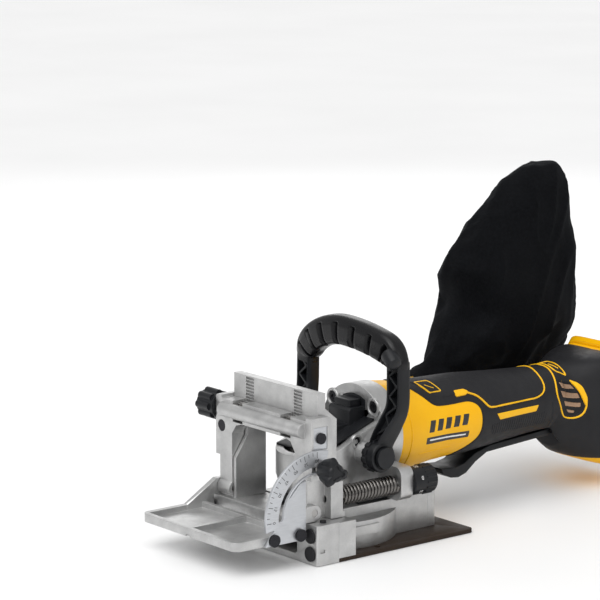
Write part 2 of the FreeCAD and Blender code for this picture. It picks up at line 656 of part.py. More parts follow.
class sector:
    """A band of a circle about the hinge, from one angle to another, in a sketch."""

    def __init__(self, outer, start, end, inner):
        self.rims = (outer, inner)
        self.angles = (number(start), number(end))

    def draw(self, sketch):
        first = sketch.GeometryCount
        axis = Vector(0, 0, 1)
        centre = Vector(number(size.hinge_y), number(size.hinge_z), 0)
        low, high = (math.radians(180 - angle) for angle in reversed(self.angles))
        for rim in self.rims:
            sketch.addGeometry(Part.ArcOfCircle(Part.Circle(centre, axis, number(rim)), low, high), False)
        ends = []
        for angle in self.angles:
            spots = [arc_point(rim, angle) for rim in self.rims]
            ends.append([Vector(number(y), number(z), 0) for y, z in spots])
        for outer, inner in ends:
            sketch.addGeometry(Part.LineSegment(outer, inner), False)
        for rim_index, rim in enumerate(self.rims):
            arc = first + rim_index
            for way, amount in (("DistanceX", size.hinge_y), ("DistanceY", size.hinge_z)):
                spot = sketch.addConstraint(Sketcher.Constraint(way, -1, 1, arc, 3, number(amount)))
                sketch.setExpression(f"Constraints[{spot}]", amount.text)
            spot = sketch.addConstraint(Sketcher.Constraint("Radius", arc, number(rim)))
            sketch.setExpression(f"Constraints[{spot}]", rim.text)
            sketch.addConstraint(Sketcher.Constraint("Coincident", arc, 2, first + 2, rim_index + 1))
            sketch.addConstraint(Sketcher.Constraint("Coincident", arc, 1, first + 3, rim_index + 1))
        for line, angle in zip((first + 2, first + 3), self.angles):
            y, z = arc_point(self.rims[1], angle)
            sketch.addConstraint(Sketcher.Constraint("DistanceX", -1, 1, line, 2, number(y)))
            y, z = arc_point(self.rims[0], angle)
            sketch.addConstraint(Sketcher.Constraint("DistanceX", -1, 1, line, 1, number(y)))


def quadrant_screws():
    """The two black screws that hold the quadrant to the end of the fence."""
    spots = [(number(size.quadrant_outer), y, 24.5) for y in (-90.9, -66.2)]
    piece = Piece("quadrant_screws")
    for x, y, z in spots:
        piece.pad("YZ", size.quadrant_outer, size.quadrant_outer + 2.2, Circle(y, z, 4.7))


def clamp_knob():
    """The three-lobed knob that locks the quadrant."""
    stud_y, stud_z = stud_place()
    piece = Piece("clamp_knob", (0, stud_y, stud_z))
    piece.pad("YZ", 62.2, 80.0, Circle(0, 0, 6.5))
    lobe = piece.pad("YZ", 66.0, 78.5,
                     Outline((-3.6, 3.0), (3.6, 3.0), (3.9, 12.5), (2.0, 14.5), (-2.0, 14.5), (-3.9, 12.5)))
    piece.around(lobe, "X", 3)
    piece.pocket("YZ", 62.2, 75.0, Circle(0, 0, size.stud_radius + size.fit))


def clamp_washer():
    """The washer between the quadrant and its knob."""
    stud_y, stud_z = stud_place()
    piece = Piece("clamp_washer", (0, stud_y, stud_z))
    piece.pad("YZ", 61.1, 62.2, Circle(0, 0, 5.8), Circle(0, 0, size.stud_radius + size.fit))

# ---------------------------------------------------------------- motor unit


def slide_plate():
    """The black slide under the gear case, with the two tee keels that run in the base."""
    piece = Piece("slide_plate")
    piece.pad("XY", size.slide_low, size.slide_high, rectangle(-39.0, 8.0, 39.0, 72.0))
    piece.pad("XY", size.slide_low, size.slide_high, Circle(0, 0, 33.0))
    for side in (-1, 1):
        near, far = sorted((side * 30.3, side * 32.7))
        piece.pad("XY", 26.0, size.slide_low + 1, rectangle(near, 10.0, far, 70.0))
        near, far = sorted((side * 28.3, side * 34.7))
        piece.pad("XY", 24.0, 26.5, rectangle(near, 10.0, far, 70.0))
    piece.pocket("XY", size.slide_low, size.slide_high, Circle(0, 0, 15.0))
    for x, y in SLIDE_SCREWS:
        piece.pocket("XY", size.slide_low, size.slide_high, Circle(x, y, 2.1))


SLIDE_SCREWS = ((20.0, 16.0), (-20.0, 16.0), (16.0, 40.0), (-16.0, 40.0))


def slide_screws():
    """The four screws that hold the slide to the gear case."""
    piece = Piece("slide_screws")
    for x, y in SLIDE_SCREWS:
        piece.pad("XY", size.slide_low + 0.2, size.slide_high, Circle(x, y, 2.0))


# the sloping seat of the black cover on the gear case: along, height
COVER_SEAT = ((-33.0, 68.5), (-9.0, 72.0), (36.0, 88.9))


def gear_case():
    """The gear case: a round head over the blade, a body behind it, the motor's flange and the depth lug."""
    piece = Piece("gear_case")
    axis = size.motor_height
    piece.turn("XZ", "V",
               Outline((0, size.slide_high), (26.0, size.slide_high), (29.5, 42.0), (size.head_radius, 50.0),
                       (size.head_radius, 80.0), (0, 80.0)))
    piece.pad("YZ", -29.0, 29.0,
              Outline((0, size.slide_high), (44.0, size.slide_high), (44.0, 92.0), (0, 92.0)))
    piece.pad("XZ", size.flange_front, size.flange_back, Circle(0, axis, size.flange_radius))
    piece.pad("XY", size.slide_high, 58.0, rectangle(27.0, size.lug_front, 45.0, size.lug_back))
    piece.pad("XY", 32.0, 58.0, rectangle(39.6, size.lug_front, size.carriage_half - 0.6, size.lug_back))
    piece.round_off(7, "Y", (size.carriage_half - 0.6, 58.0), (size.carriage_half - 0.6, 32.0))
    for side in (-1, 1):
        near, far = sorted((28.0 * side, 40.0 * side))
        piece.pad("YZ", near, far, Circle(size.pivot_y, size.pivot_z, 9.0))
    piece.pocket("YZ", -size.head_radius, size.head_radius,
                 Outline(*COVER_SEAT, (size.flange_front, 115.0), (-33.0, 115.0)))
    piece.pocket("XZ", size.flange_front, size.flange_front + 2.5,
                 Outline((-13.5, 89.0), (-13.5, 103.4), (-7.0, 105.7), (0, 106.5), (7.0, 105.7),
                         (13.5, 103.4), (13.5, 89.0)))
    piece.pocket("XY", 50.0, 84.0, Circle(0, 0, 26.0))
    piece.pocket("XZ", 0, size.flange_back, Circle(0, axis, 12.4))
    piece.pocket("XZ", 40.0, size.flange_back, Circle(0, axis, 33.0))
    piece.pocket("XY", size.slide_high, 50.0, Circle(0, 0, 15.0))
    for side in (-1, 1):
        near, far = sorted((34.0 * side, 40.0 * side))
        piece.pocket("YZ", near, far, Circle(size.pivot_y, size.pivot_z, 3.5))
    for x, z in flange_spots():
        piece.pocket("XZ", size.flange_front, size.flange_front + 4, Circle(x, z, 3.6))
    piece.pocket("XZ", size.lug_front, size.lug_back, Circle(size.rod_x, size.rod_z, size.rod_radius + 0.3))


def flange_spots():
    """The four flange screws' places across the motor's axis."""
    reach = size.screw_circle * math.sqrt(0.5)
    return [(reach * i, size.motor_height + reach * j) for i in (-1, 1) for j in (-1, 1)]


def flange_screws():
    """The four black screws that hold the motor housing on the gear case."""
    piece = Piece("flange_screws")
    for x, z in flange_spots():
        piece.pad("XZ", size.flange_front + 1, size.flange_front + 4, Circle(x, z, 3.5))


def gear_cover():
    """The sloping black cover on top of the gear case, with the block that holds the spindle lock."""
    piece = Piece("gear_cover")
    piece.pad("YZ", -24.0, 24.0,
              Outline((-21.0, 70.3), (-9.0, 72.0), (35.9, 88.88), (35.9, 90.6), (-9.0, 73.7), (-20.0, 72.1),
                      (-21.0, 71.5)))
    piece.pad("YZ", -10.5, 10.5, Outline((4.0, 77.5), (9.0, 85.6), (22.0, 86.4), (22.0, 84.0)))
    piece.pad("YZ", -12.4, 12.4,
              Outline((21.0, 83.6), (21.0, 96.5), (23.0, 98.5), (38.4, 98.5), (38.4, 90.0)))
    piece.pad("XZ", size.flange_front, 38.4,
              Outline((-13.3, 90.0), (-13.3, 103.2), (-7.0, 105.5), (0, 106.3), (7.0, 105.5), (13.3, 103.2),
                      (13.3, 90.0)))
    piece.pocket("XZ", 3.0, 29.6, Circle(0, size.motor_height, 8.4))
    piece.pocket("XZ", 29.6, 38.4, Circle(0, size.motor_height, 12.6))
    piece.pocket("XY", 89.6, 98.5, rectangle(-9.2, 23.3, 9.2, 35.7))


def spindle_lock_button():
    """The button that is pushed down to hold the spindle while the blade is changed."""
    piece = Piece("spindle_lock_button")
    piece.pad("XY", 92.7, 104.0, rectangle(-9.0, 23.5, 9.0, 35.5))
    piece.round_off(1.5, "Z", (-9.0, 23.5), (9.0, 23.5), (-9.0, 35.5), (9.0, 35.5))


def ring(label, plane, start, end, x, y, outer, inner):
    """A plain ring, such as a bearing, square to an axis."""
    piece = Piece(label)
    piece.pad(plane, start, end, Circle(x, y, outer), Circle(x, y, inner))
    return piece


def bearings():
    """The spindle's two bearings and the motor's two bearings, as closed rings."""
    piece = ring("spindle_bearings", "XY", 37.0, 43.0, 0, 0, 14.9, size.spindle_radius + size.fit)
    piece.pad("XY", 43.5, 49.5, Circle(0, 0, 14.9), Circle(0, 0, size.spindle_radius + size.fit))
    piece = ring("motor_bearings", "XZ", 30.0, 38.0, 0, size.motor_height, 12.3,
                 size.shaft_radius + size.fit)
    piece.pad("XZ", 106.0, 113.0, Circle(0, size.motor_height, 9.5),
              Circle(0, size.motor_height, size.shaft_radius + size.fit))


# the housing's outside: distance along the motor's axis, radius
HOUSING_PROFILE = ((53.1, 38.0), (62.0, 37.0), (84.0, 34.4), (105.0, 32.2), (138.0, 31.4), (179.0, 28.1),
                   (212.0, 26.0), (240.0, 26.0))


def housing_half(side):
    """One moulded half of the motor housing: barrel, grip and battery foot."""
    piece = Piece("housing_right" if side > 0 else "housing_left", (0, 0, size.motor_height))
    wall = size.wall
    outer = [(y, radius) for y, radius in HOUSING_PROFILE]
    inner = [(y, radius - wall) for y, radius in reversed(HOUSING_PROFILE)]
    piece.turn("YZ", "H", Outline(*outer, *inner), angle=180.0, flip=side < 0)
    low, high = size.foot_low - size.motor_height, size.foot_high - size.motor_height
    span = sorted((0.0, number(size.foot_half) * side))
    belly = ((238.0, -25.0), (248.0, -27.0), (258.0, -33.0), (268.0, -42.0), (280.0, -51.0), (296.0, -58.0))
    piece.pad("YZ", *span, Outline(*belly, (size.foot_back, low), (size.foot_back, high), (296.0, high),
                                   (252.0, 29.5), (238.0, 25.0)))
    span = sorted((0.0, (number(size.foot_half) - 3) * side))
    lining = ((264.0, -34.5), (271.0, -40.5), (283.0, -49.0), (298.0, -55.5))
    piece.pocket("YZ", *span,
                 Outline(*lining, (size.foot_back, low + 3), (size.foot_back, high - 3), (297.0, high - 3),
                         (264.0, 28.5)))
    corner = [(27.0 * side, 237.0), (39.0 * side, 237.0), (39.0 * side, 270.0)]
    piece.pocket("XY", low, high, Outline(*corner))
    neck = sorted((0.0, 20.0 * side))
    piece.pocket("XZ", 237.0, 266.0, rectangle(neck[0], -20.0, neck[1], 20.0))
    paddle_room = sorted((0.0, 14.0 * side))
    piece.pocket("XY", -40.0, -21.0, rectangle(paddle_room[0], 112.0, paddle_room[1], 241.0))


def housing_screws():
    """The three screws that close the two housing halves."""
    piece = Piece("housing_screws")
    for y, z in ((122.0, 93.0), (122.0, 58.0), (200.0, 90.0)):
        piece.pad("YZ", -17.5, 17.5, Circle(y, z, 1.6))


def battery_dock():
    """The black seat that the battery slides on, with its two rails."""
    piece = Piece("battery_dock")
    low, high = size.dock_low, size.dock_high
    piece.pad("XZ", 300.0, 306.0, rectangle(-34.6, low, 34.6, high))
    for side in (-1, 1):
        near, far = sorted((side * 34.6, side * 27.0))
        piece.pad("XZ", 306.0, 308.5, rectangle(near, low, far, high))
        near, far = sorted((side * 34.6, side * 23.0))
        piece.pad("XZ", 308.5, 311.5, rectangle(near, low, far, high))
    piece.pocket("XZ", 300.0, 306.0, rectangle(-15.0, 52.0, 15.0, 78.0))


def terminal_parts():
    """The terminal block in the dock, and its contact blades."""
    block = Piece("terminal_block")
    block.pad("XZ", 298.0, 306.0, rectangle(-14.9, 52.1, 14.9, 77.9))
    slots = (-10.5, -4.0, 4.0, 10.5)
    for x in slots:
        block.pocket("XZ", 300.0, 306.0, rectangle(x - 0.6, 56.0, x + 0.6, 74.0))
    blades = Piece("terminal_blades")
    for x in slots:
        blades.pad("XZ", 300.0, 309.5, rectangle(x - 0.5, 57.0, x + 0.5, 73.0))


# where the paddle turns: along, height
PADDLE_PIVOT = (234.0, 51.5)


def motor_insides():
    """What the housing holds: stator, electronics and switch, and the pin of the paddle."""
    axis = size.motor_height
    stator = Piece("stator")
    stator.pad("XZ", 62.0, 98.0, Circle(0, axis, 29.0), Circle(0, axis, 17.0))
    for turn in range(6):
        angle = math.radians(60 * turn)
        x, z = 18.0 * math.cos(angle), 18.0 * math.sin(angle)
        stator.pad("XZ", 60.0, 100.0, Circle(x, axis + z, 3.4))
    board = Piece("controller_board")
    board.pad("XY", 82.0, 84.0, rectangle(-16.0, 124.0, 16.0, 178.0))
    board.pad("XY", 84.0, 90.0, rectangle(-9.0, 130.0, 9.0, 150.0))
    switch = Piece("switch_module")
    switch.pad("XY", 58.0, 74.0, rectangle(-9.0, 150.0, 9.0, 186.0))
    switch.pad("XY", 51.8, 58.0, Circle(0, 168.0, 2.4))
    pin = Piece("paddle_pin")
    pin.pad("YZ", -14.0, 14.0, Circle(*PADDLE_PIVOT, 2.0))

def depth_turret():
    """The black turret on the end of the depth rod: turned to choose how deep the blade may go."""
    piece = Piece("depth_turret", (size.rod_x, 0, size.rod_z))
    piece.pad("XZ", size.lug_back + 0.3, size.turret_back, Circle(0, 0, size.turret_radius))
    rib = piece.pad("XZ", size.turret_back - 10, size.turret_back - 1, Circle(10.4, 0, 1.3))
    piece.around(rib, "Y", 16)
    piece.pocket("XZ", size.lug_back + 0.3, size.turret_back - 1.4, Circle(0, 0, size.rod_radius + 1.9))


# ---------------------------------------------------------------- drive


def bevel_gear_shape(teeth, pitch_angle, cone, face, bore, back, phase):
    """A bevel gear with its cones' common tip at the origin and its axis along +Z."""
    tilt = math.radians(pitch_angle)
    along_cone = Vector(math.sin(tilt), 0, math.cos(tilt))
    off_cone = Vector(math.cos(tilt), 0, -math.sin(tilt))
    pitch = 2 * math.pi * cone * math.sin(tilt) / teeth
    root_depth, tip_height = pitch * 0.27, pitch * 0.17

    def spot(distance, height, half_width):
        return along_cone * distance + off_cone * height * (distance / cone) + Vector(0, half_width, 0)

    def section(distance):
        scale = distance / cone
        widths = ((-root_depth * 1.3, pitch * 0.30), (tip_height, pitch * 0.115))
        (low, low_half), (high, high_half) = widths
        corners = [spot(distance, low, -low_half * scale), spot(distance, high, -high_half * scale),
                   spot(distance, high, high_half * scale), spot(distance, low, low_half * scale)]
        return Part.makePolygon(corners + corners[:1])

    outer, inner = spot(cone, -root_depth, 0), spot(cone - face, -root_depth, 0)
    blank = Part.makePolygon([Vector(bore, 0, inner.z), inner, outer, Vector(outer.x - 0.6, 0, back),
                              Vector(bore, 0, back), Vector(bore, 0, inner.z)])
    gear = Part.Face(blank).revolve(Vector(0, 0, 0), Vector(0, 0, 1), 360)
    tooth = Part.makeLoft([section(cone - face), section(cone)], True, True)
    for number_of_tooth in range(teeth):
        turned = tooth.copy()
        turned.rotate(Vector(0, 0, 0), Vector(0, 0, 1), phase + number_of_tooth * 360.0 / teeth)
        gear = gear.fuse(turned)
    room = Part.makeCylinder(bore, 60, Vector(0, 0, -30))
    return gear.removeSplitter().cut(room)


def bevel_gears():
    """The three-to-one bevel pair, built about the point where the two shafts' axes meet."""
    gear_radius, pinion_radius = number(size.gear_radius), number(size.pinion_radius)
    cone = math.hypot(gear_radius, pinion_radius)
    face = number(size.face_width)
    gear_angle = math.degrees(math.atan2(gear_radius, pinion_radius))
    meet = Vector(0, 0, number(size.motor_height))
    big = doc.addObject("Part::Feature", "bevel_gear")
    big.Label = "bevel_gear"
    half_tooth = 180.0 / 27
    big.Shape = bevel_gear_shape(27, gear_angle, cone, face, number(size.spindle_radius), 15.5,
                                 half_tooth - 90)
    big.Placement = Placement(meet, Rotation(Vector(1, 0, 0), 180))
    SUBPARTS.append(big)
    small = doc.addObject("Part::Feature", "pinion_gear")
    small.Label = "pinion_gear"
    small.Shape = bevel_gear_shape(9, 90 - gear_angle, cone, face, number(size.shaft_radius), 27.0, 90)
    small.Placement = Placement(meet, Rotation(Vector(1, 0, 0), -90))
    SUBPARTS.append(small)


def spindle_parts():
    """The spindle, the blade with its six tips, and the flange and nut that clamp it."""
    piece = Piece("spindle")
    piece.pad("XY", 12.0, 72.5, Circle(0, 0, size.spindle_radius))
    piece.pad("XY", 3.8, 12.0, Circle(0, 0, size.arbor_radius))
    flange = Piece("inner_flange")
    flange.pad("XY", size.blade_high, 15.2, Circle(0, 0, 11.0), Circle(0, 0, size.spindle_radius))
    nut = Piece("clamp_nut")
    nut.pad("XY", 4.0, size.blade_low, Circle(0, 0, 14.0), Circle(0, 0, size.arbor_radius))
    for side in (-1, 1):
        nut.pocket("XY", 4.0, 6.0, Circle(9.5 * side, 0, 1.6))
    blade = Piece("blade")
    blade.pad("XY", size.blade_low + 0.6, size.blade_high - 0.6, Circle(0, 0, 46.0),
              Circle(0, 0, size.arbor_radius))
    tip = blade.pad("XY", size.blade_low, size.blade_high,
                    Outline((43.0, 0.0), (50.6, 0.0), (49.5, 5.0), (45.0, 9.0), (42.0, 9.0)))
    blade.around(tip, "Z", 6)
    blade.pad("XY", size.blade_low, size.blade_high, Circle(0, 0, 14.0), Circle(0, 0, size.arbor_radius))


def rotor_parts():
    """The motor's shaft, its magnet and the cooling fan."""
    axis = size.motor_height
    piece = Piece("rotor_shaft")
    piece.pad("XZ", 14.6, 116.0, Circle(0, axis, size.shaft_radius))
    magnet = Piece("rotor_magnet")
    magnet.pad("XZ", 63.0, 97.0, Circle(0, axis, 13.5), Circle(0, axis, size.shaft_radius))
    fan = Piece("motor_fan", (0, 0, axis))
    fan.pad("XZ", 43.0, 45.0, Circle(0, 0, 29.0), Circle(0, 0, size.shaft_radius))
    fan.pad("XZ", 45.0, 54.0, Circle(0, 0, 8.0), Circle(0, 0, size.shaft_radius))
    vane = fan.pad("XZ", 45.0, 52.0, rectangle(7.5, -0.7, 27.0, 0.7))
    fan.around(vane, "Y", 9)


# ---------------------------------------------------------------- handle, paddle


def handle_bail():
    """The bail handle: two legs from the pivots up to an arch across the top."""
    piece = Piece("handle_bail")
    front, rear = size.grip_front, size.grip_rear
    for side in (-1, 1):
        near, far = sorted((40.4 * side, 53.0 * side))
        piece.pad("YZ", near, far, Circle(size.pivot_y, size.pivot_z, size.boss_radius))
        near, far = sorted((number(size.handle_inner) * side, 53.4 * side))
        piece.pad("YZ", near, far,
                  Outline((9.6, 66.0), (16.0, 61.0), (31.5, 65.0), (rear, 100.0), (rear, 112.0),
                          (front, 112.0), (front, 100.0)))
        near, far = sorted((number(size.handle_inner) * side, number(size.handle_outer) * side))
        piece.pad("YZ", near, far, Outline((27.0, 93.0), (rear - 1, 96.0), (rear, 106.0), (front, 106.0)))
    outer = [(62, 104), (62, 146), (57, 154), (48, 158), (20, 165), (-10, 168.5), (-30, 166), (-46, 158),
             (-56, 147), (-62, 134), (-62, 104)]
    inner = [(-45.6, 104), (-45.6, 122), (-40, 131), (-30, 138), (-14, 143), (6, 144), (28, 141),
             (39, 138), (45.6, 130), (45.6, 104)]
    piece.pad("XZ", front, rear, Outline(*outer, *inner))
    for side in (-1, 1):
        near, far = sorted((40.4 * side, 54.0 * side))
        piece.pocket("YZ", near, far, Circle(size.pivot_y, size.pivot_z, 4.2))


def handle_grip():
    """The soft grip round the top of the bail, with its finger grooves."""
    piece = Piece("handle_grip")
    front = size.grip_front
    outer = [(36, 160.5), (20, 164), (-10, 167.6), (-30, 165), (-38, 161)]
    inner = [(-34, 137.0), (-14, 144), (6, 145), (28, 142), (36, 139.5)]
    piece.pad("XZ", front - 5, front, Outline(*outer, *inner))
    for step in range(6):
        x = -30.0 + 12.0 * step
        piece.pocket("XY", 130.0, 170.0, Circle(x, front - 9, 6.0))


def handle_bolts():
    """The two capped bolts that the bail turns on."""
    piece = Piece("handle_bolts")
    for side in (-1, 1):
        near, far = sorted((34.2 * side, 53.7 * side))
        piece.pad("YZ", near, far, Circle(size.pivot_y, size.pivot_z, 3.5))
        near, far = sorted((53.7 * side, 56.7 * side))
        piece.pad("YZ", near, far, Circle(size.pivot_y, size.pivot_z, 8.2))


def paddle():
    """The long paddle switch under the grip, hinged at its back end."""
    piece = Piece("paddle")
    piece.pad("YZ", -12.0, 12.0,
              Outline((116.0, 36.0), (118.0, 31.5), (126.0, 27.5), (134.0, 26.6), (142.0, 29.0),
                      (152.0, 36.5), (164.0, 42.5), (232.0, 46.5), (237.5, 48.0), (237.5, 51.5),
                      (234.0, 54.1), (228.0, 51.0), (168.0, 47.5), (152.0, 43.6), (140.0, 37.0),
                      (130.0, 35.0)))
    piece.pocket("YZ", -12.0, 12.0, Circle(*PADDLE_PIVOT, 2.0 + size.fit))
    piece.pocket("XY", 40.0, 52.0, rectangle(-4.0, 172.0, 4.0, 190.0))


def lock_off_lever():
    """The small safety lever in the paddle that has to be pushed before the paddle moves."""
    piece = Piece("lock_off_lever")
    piece.pad("YZ", -3.6, 3.6,
              Outline((174.0, 41.5), (179.0, 40.5), (186.5, 44.6), (188.5, 46.0), (186.5, 47.4),
                      (178.0, 46.6)))


BUILDERS = (
    front_shoe, blade_housing, rear_cap, sole_plate, sole_screws, anti_slip_pads, rack_upright,
    upright_feet, upright_screws, depth_rod, return_spring, dust_port, bag_parts, carriage,
    carriage_screws, height_scale, hinge_pins, clamp_stud, pinion_shaft, height_knob, fence_plate,
    hinge_ears, angle_quadrant, quadrant_screws, clamp_knob, clamp_washer, slide_plate, slide_screws,
    gear_case,
    flange_screws, gear_cover, spindle_lock_button, bearings, housing_screws, battery_dock,
    terminal_parts, motor_insides, depth_turret, bevel_gears, spindle_parts, rotor_parts, handle_bail,
    handle_grip, handle_bolts, paddle, lock_off_lever,
)
for build in BUILDERS:
    build()
for half_side in (-1, 1):
    housing_half(half_side)
doc.recompute()

for item in doc.Objects:
    if "Invalid" in item.State or "Error" in item.State:
        raise RuntimeError(f"{item.Name} did not build: {item.State}")
for subpart in SUBPARTS:
    if subpart.Shape.isNull() or not subpart.Shape.isValid() or not subpart.Shape.Solids:
        raise RuntimeError(f"{subpart.Label} has no valid solid")

os.makedirs("parts", exist_ok=True)
for subpart in SUBPARTS:
    subpart.Shape.exportStep(os.path.join("parts", f"{subpart.Label}.step"))
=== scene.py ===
"""Looks of a cordless biscuit joiner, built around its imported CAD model.

Sizes are millimetres in the part's own frame, and become metres where a mesh is made.
Y runs from the fence at the front (low) to the battery end (high), and +X is the near side.
"""
import json
import math

import bmesh
import bpy
import numpy as np
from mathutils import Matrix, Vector, noise
from mathutils.bvhtree import BVHTree

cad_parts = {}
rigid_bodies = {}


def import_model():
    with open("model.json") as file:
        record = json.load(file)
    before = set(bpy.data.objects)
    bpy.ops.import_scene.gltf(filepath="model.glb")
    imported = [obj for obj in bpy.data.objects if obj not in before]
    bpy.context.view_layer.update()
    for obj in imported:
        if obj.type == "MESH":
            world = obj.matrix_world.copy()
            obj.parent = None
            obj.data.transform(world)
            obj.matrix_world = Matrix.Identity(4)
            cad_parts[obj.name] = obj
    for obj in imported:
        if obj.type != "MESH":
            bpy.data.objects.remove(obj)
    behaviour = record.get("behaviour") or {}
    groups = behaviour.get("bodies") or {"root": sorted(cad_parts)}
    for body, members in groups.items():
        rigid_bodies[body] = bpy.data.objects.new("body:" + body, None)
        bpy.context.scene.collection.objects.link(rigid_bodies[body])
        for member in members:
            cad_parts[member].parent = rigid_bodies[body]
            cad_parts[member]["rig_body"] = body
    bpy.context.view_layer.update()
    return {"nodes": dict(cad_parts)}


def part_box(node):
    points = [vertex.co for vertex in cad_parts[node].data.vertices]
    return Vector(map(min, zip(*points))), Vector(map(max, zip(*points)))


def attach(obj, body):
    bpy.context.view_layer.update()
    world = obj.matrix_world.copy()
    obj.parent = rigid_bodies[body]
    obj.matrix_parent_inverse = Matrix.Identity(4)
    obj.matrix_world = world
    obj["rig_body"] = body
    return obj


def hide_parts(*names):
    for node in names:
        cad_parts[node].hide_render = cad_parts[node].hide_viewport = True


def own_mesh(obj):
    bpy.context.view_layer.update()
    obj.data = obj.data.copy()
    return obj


for thing in list(bpy.data.objects):
    bpy.data.objects.remove(thing)
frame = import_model()
nodes = frame["nodes"]
MM = 0.001


def box(node):
    """Lowest and highest corner of a CAD node, in millimetres."""
    low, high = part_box(node)
    return low / MM, high / MM


# ---------------------------------------------------------------- camera and light

camera = bpy.data.objects.new("camera", bpy.data.cameras.new("camera"))
bpy.context.scene.collection.objects.link(camera)
camera.location = (1.66662, -1.36199, 0.59364)
camera.rotation_euler = (math.radians(90 - 10.79), 0, math.radians(51.10))
camera.data.lens = 174.19
camera.data.sensor_width = 36
camera.data.clip_end = 30
bpy.context.scene.camera = camera
bpy.context.scene.view_settings.view_transform = "Standard"


def area_light(name, place, target, size, power):
    """A soft square lamp that looks at target."""
    data = bpy.data.lights.new(name, "AREA")
    data.size, data.energy = size, power
    lamp = bpy.data.objects.new(name, data)
    bpy.context.scene.collection.objects.link(lamp)
    lamp.location = place
    lamp.rotation_euler = (Vector(target) - Vector(place)).to_track_quat("-Z", "Y").to_euler()


area_light("key_lamp", (0.35, -1.25, 1.25), (0, 0.1, 0.08), 0.9, 5)
area_light("side_lamp", (1.5, 0.35, 0.85), (0, 0.12, 0.08), 0.7, 2)
area_light("back_lamp", (-1.3, 1.1, 0.8), (0, 0.1, 0.08), 0.8, 3)
sky = bpy.data.lights.new("sky_lamp", "SUN")
sky.energy, sky.angle = 1.6, math.radians(60)
sky_lamp = bpy.data.objects.new("sky_lamp", sky)
bpy.context.scene.collection.objects.link(sky_lamp)
sky_lamp.rotation_euler = Vector((-0.2, 0.5, -1)).to_track_quat("-Z", "Y").to_euler()

world = bpy.data.worlds.new("studio")
bpy.context.scene.world = world
world.use_nodes = True
world.node_tree.nodes["Background"].inputs["Color"].default_value = (1, 1, 1, 1)
world.node_tree.nodes["Background"].inputs["Strength"].default_value = 0.6


# ---------------------------------------------------------------- materials

class Finish:
    """A Principled material with short ways to add nodes."""

    def __init__(self, name, roughness=0.5, metallic=0.0, **sockets):
        self.material = bpy.data.materials.new(name)
        self.material.use_nodes = True
        self.tree = self.material.node_tree
        self.shader = self.tree.nodes["Principled BSDF"]
        self.shader.inputs["Roughness"].default_value = roughness
        self.shader.inputs["Metallic"].default_value = metallic
        for socket, value in sockets.items():
            self.shader.inputs[socket.replace("_", " ")].default_value = value
        self.place = self.tree.nodes.new("ShaderNodeTexCoord").outputs["Object"]

    def add(self, kind, settings=None, **inputs):
        """A node with its settings, its inputs given by name as values or as sockets."""
        node = self.tree.nodes.new("ShaderNode" + kind)
        for key, value in (settings or {}).items():
            setattr(node, key, value)
        for key, value in inputs.items():
            self.set(node.inputs[key.replace("_", " ")], value)
        return node

    def set(self, socket, value):
        """Links a socket to the value where that is a socket too, and gives it the value otherwise."""
        if isinstance(value, bpy.types.NodeSocket):
            self.tree.links.new(value, socket)
        else:
            socket.default_value = value

    def scaled(self, stretch):
        """The object's own coordinates, stretched along its axes."""
        return self.add("Mapping", Vector=self.place, Scale=stretch).outputs[0]

    def speckle(self, size, detail=3.0, stretch=(1, 1, 1)):
        """Noise whose blotches are about size millimetres."""
        blotches = self.add("TexNoise", Vector=self.scaled(stretch), Scale=1 / (size * MM), Detail=detail)
        return blotches.outputs[0]

    def between(self, value, low, high, start=0.3, end=0.7):
        """The value's stretch from start to end, spread over low to high."""
        node = self.add("MapRange", Value=value)
        for socket, number in zip(node.inputs[1:5], (start, end, low, high)):
            socket.default_value = number
        return node.outputs[0]

    def blend(self, share, first, second):
        """A colour between first and second; share is a socket."""
        node = self.add("Mix", {"data_type": "RGBA"})
        self.set(node.inputs[0], share)
        for socket, colour in ((node.inputs[6], first), (node.inputs[7], second)):
            self.set(socket, (*colour, 1) if isinstance(colour, tuple) else colour)
        return node.outputs[2]

    def edges(self, radius, strength):
        """1 on outside edges rounder than radius millimetres, and the rounded normal."""
        bevel = self.add("Bevel", {"samples": 4})
        bevel.inputs["Radius"].default_value = radius * MM
        normal = self.add("NewGeometry").outputs["Normal"]
        dot = self.add("VectorMath", {"operation": "DOT_PRODUCT"})
        self.tree.links.new(bevel.outputs[0], dot.inputs[0])
        self.tree.links.new(normal, dot.inputs[1])
        return self.between(dot.outputs["Value"], strength, 0.0, 0.8, 0.99), bevel.outputs[0]

    def colour(self, value):
        """Sets the base colour."""
        self.set(self.shader.inputs["Base Color"], value)

    def rough(self, value):
        """Sets the roughness."""
        self.set(self.shader.inputs["Roughness"], value)

    def relief(self, height, depth, normal=None):
        """Bumps of depth millimetres, on top of an earlier normal."""
        bump = self.add("Bump", Height=height, Distance=depth * MM, Strength=1.0)
        if normal is not None:
            self.tree.links.new(normal, bump.inputs["Normal"])
        self.set(self.shader.inputs["Normal"], bump.outputs[0])
        return bump.outputs[0]


def cast_metal(name, light, dark, roughness, metallic=0.9):
    """Bead-blasted casting: fine pits, soft cloudy tone and edges rubbed bright."""
    f = Finish(name, metallic=metallic)
    cloud = f.between(f.speckle(14, 4), 0.0, 1.0)
    tone = f.blend(cloud, dark, light)
    grit = f.between(f.speckle(0.55, 2), 0.0, 0.35)
    tone = f.blend(grit, tone, tuple(c * 0.62 for c in light))
    outer_edges, rounded = f.edges(0.5, 0.55)
    f.colour(f.blend(outer_edges, tone, tuple(min(1.0, c * 1.25) for c in light)))
    f.rough(f.between(f.speckle(3.0, 3), roughness - 0.07, roughness + 0.07))
    pits = f.relief(f.speckle(0.45, 3), 0.05, rounded)
    f.relief(f.speckle(5.0, 2), 0.10, pits)
    return f.material


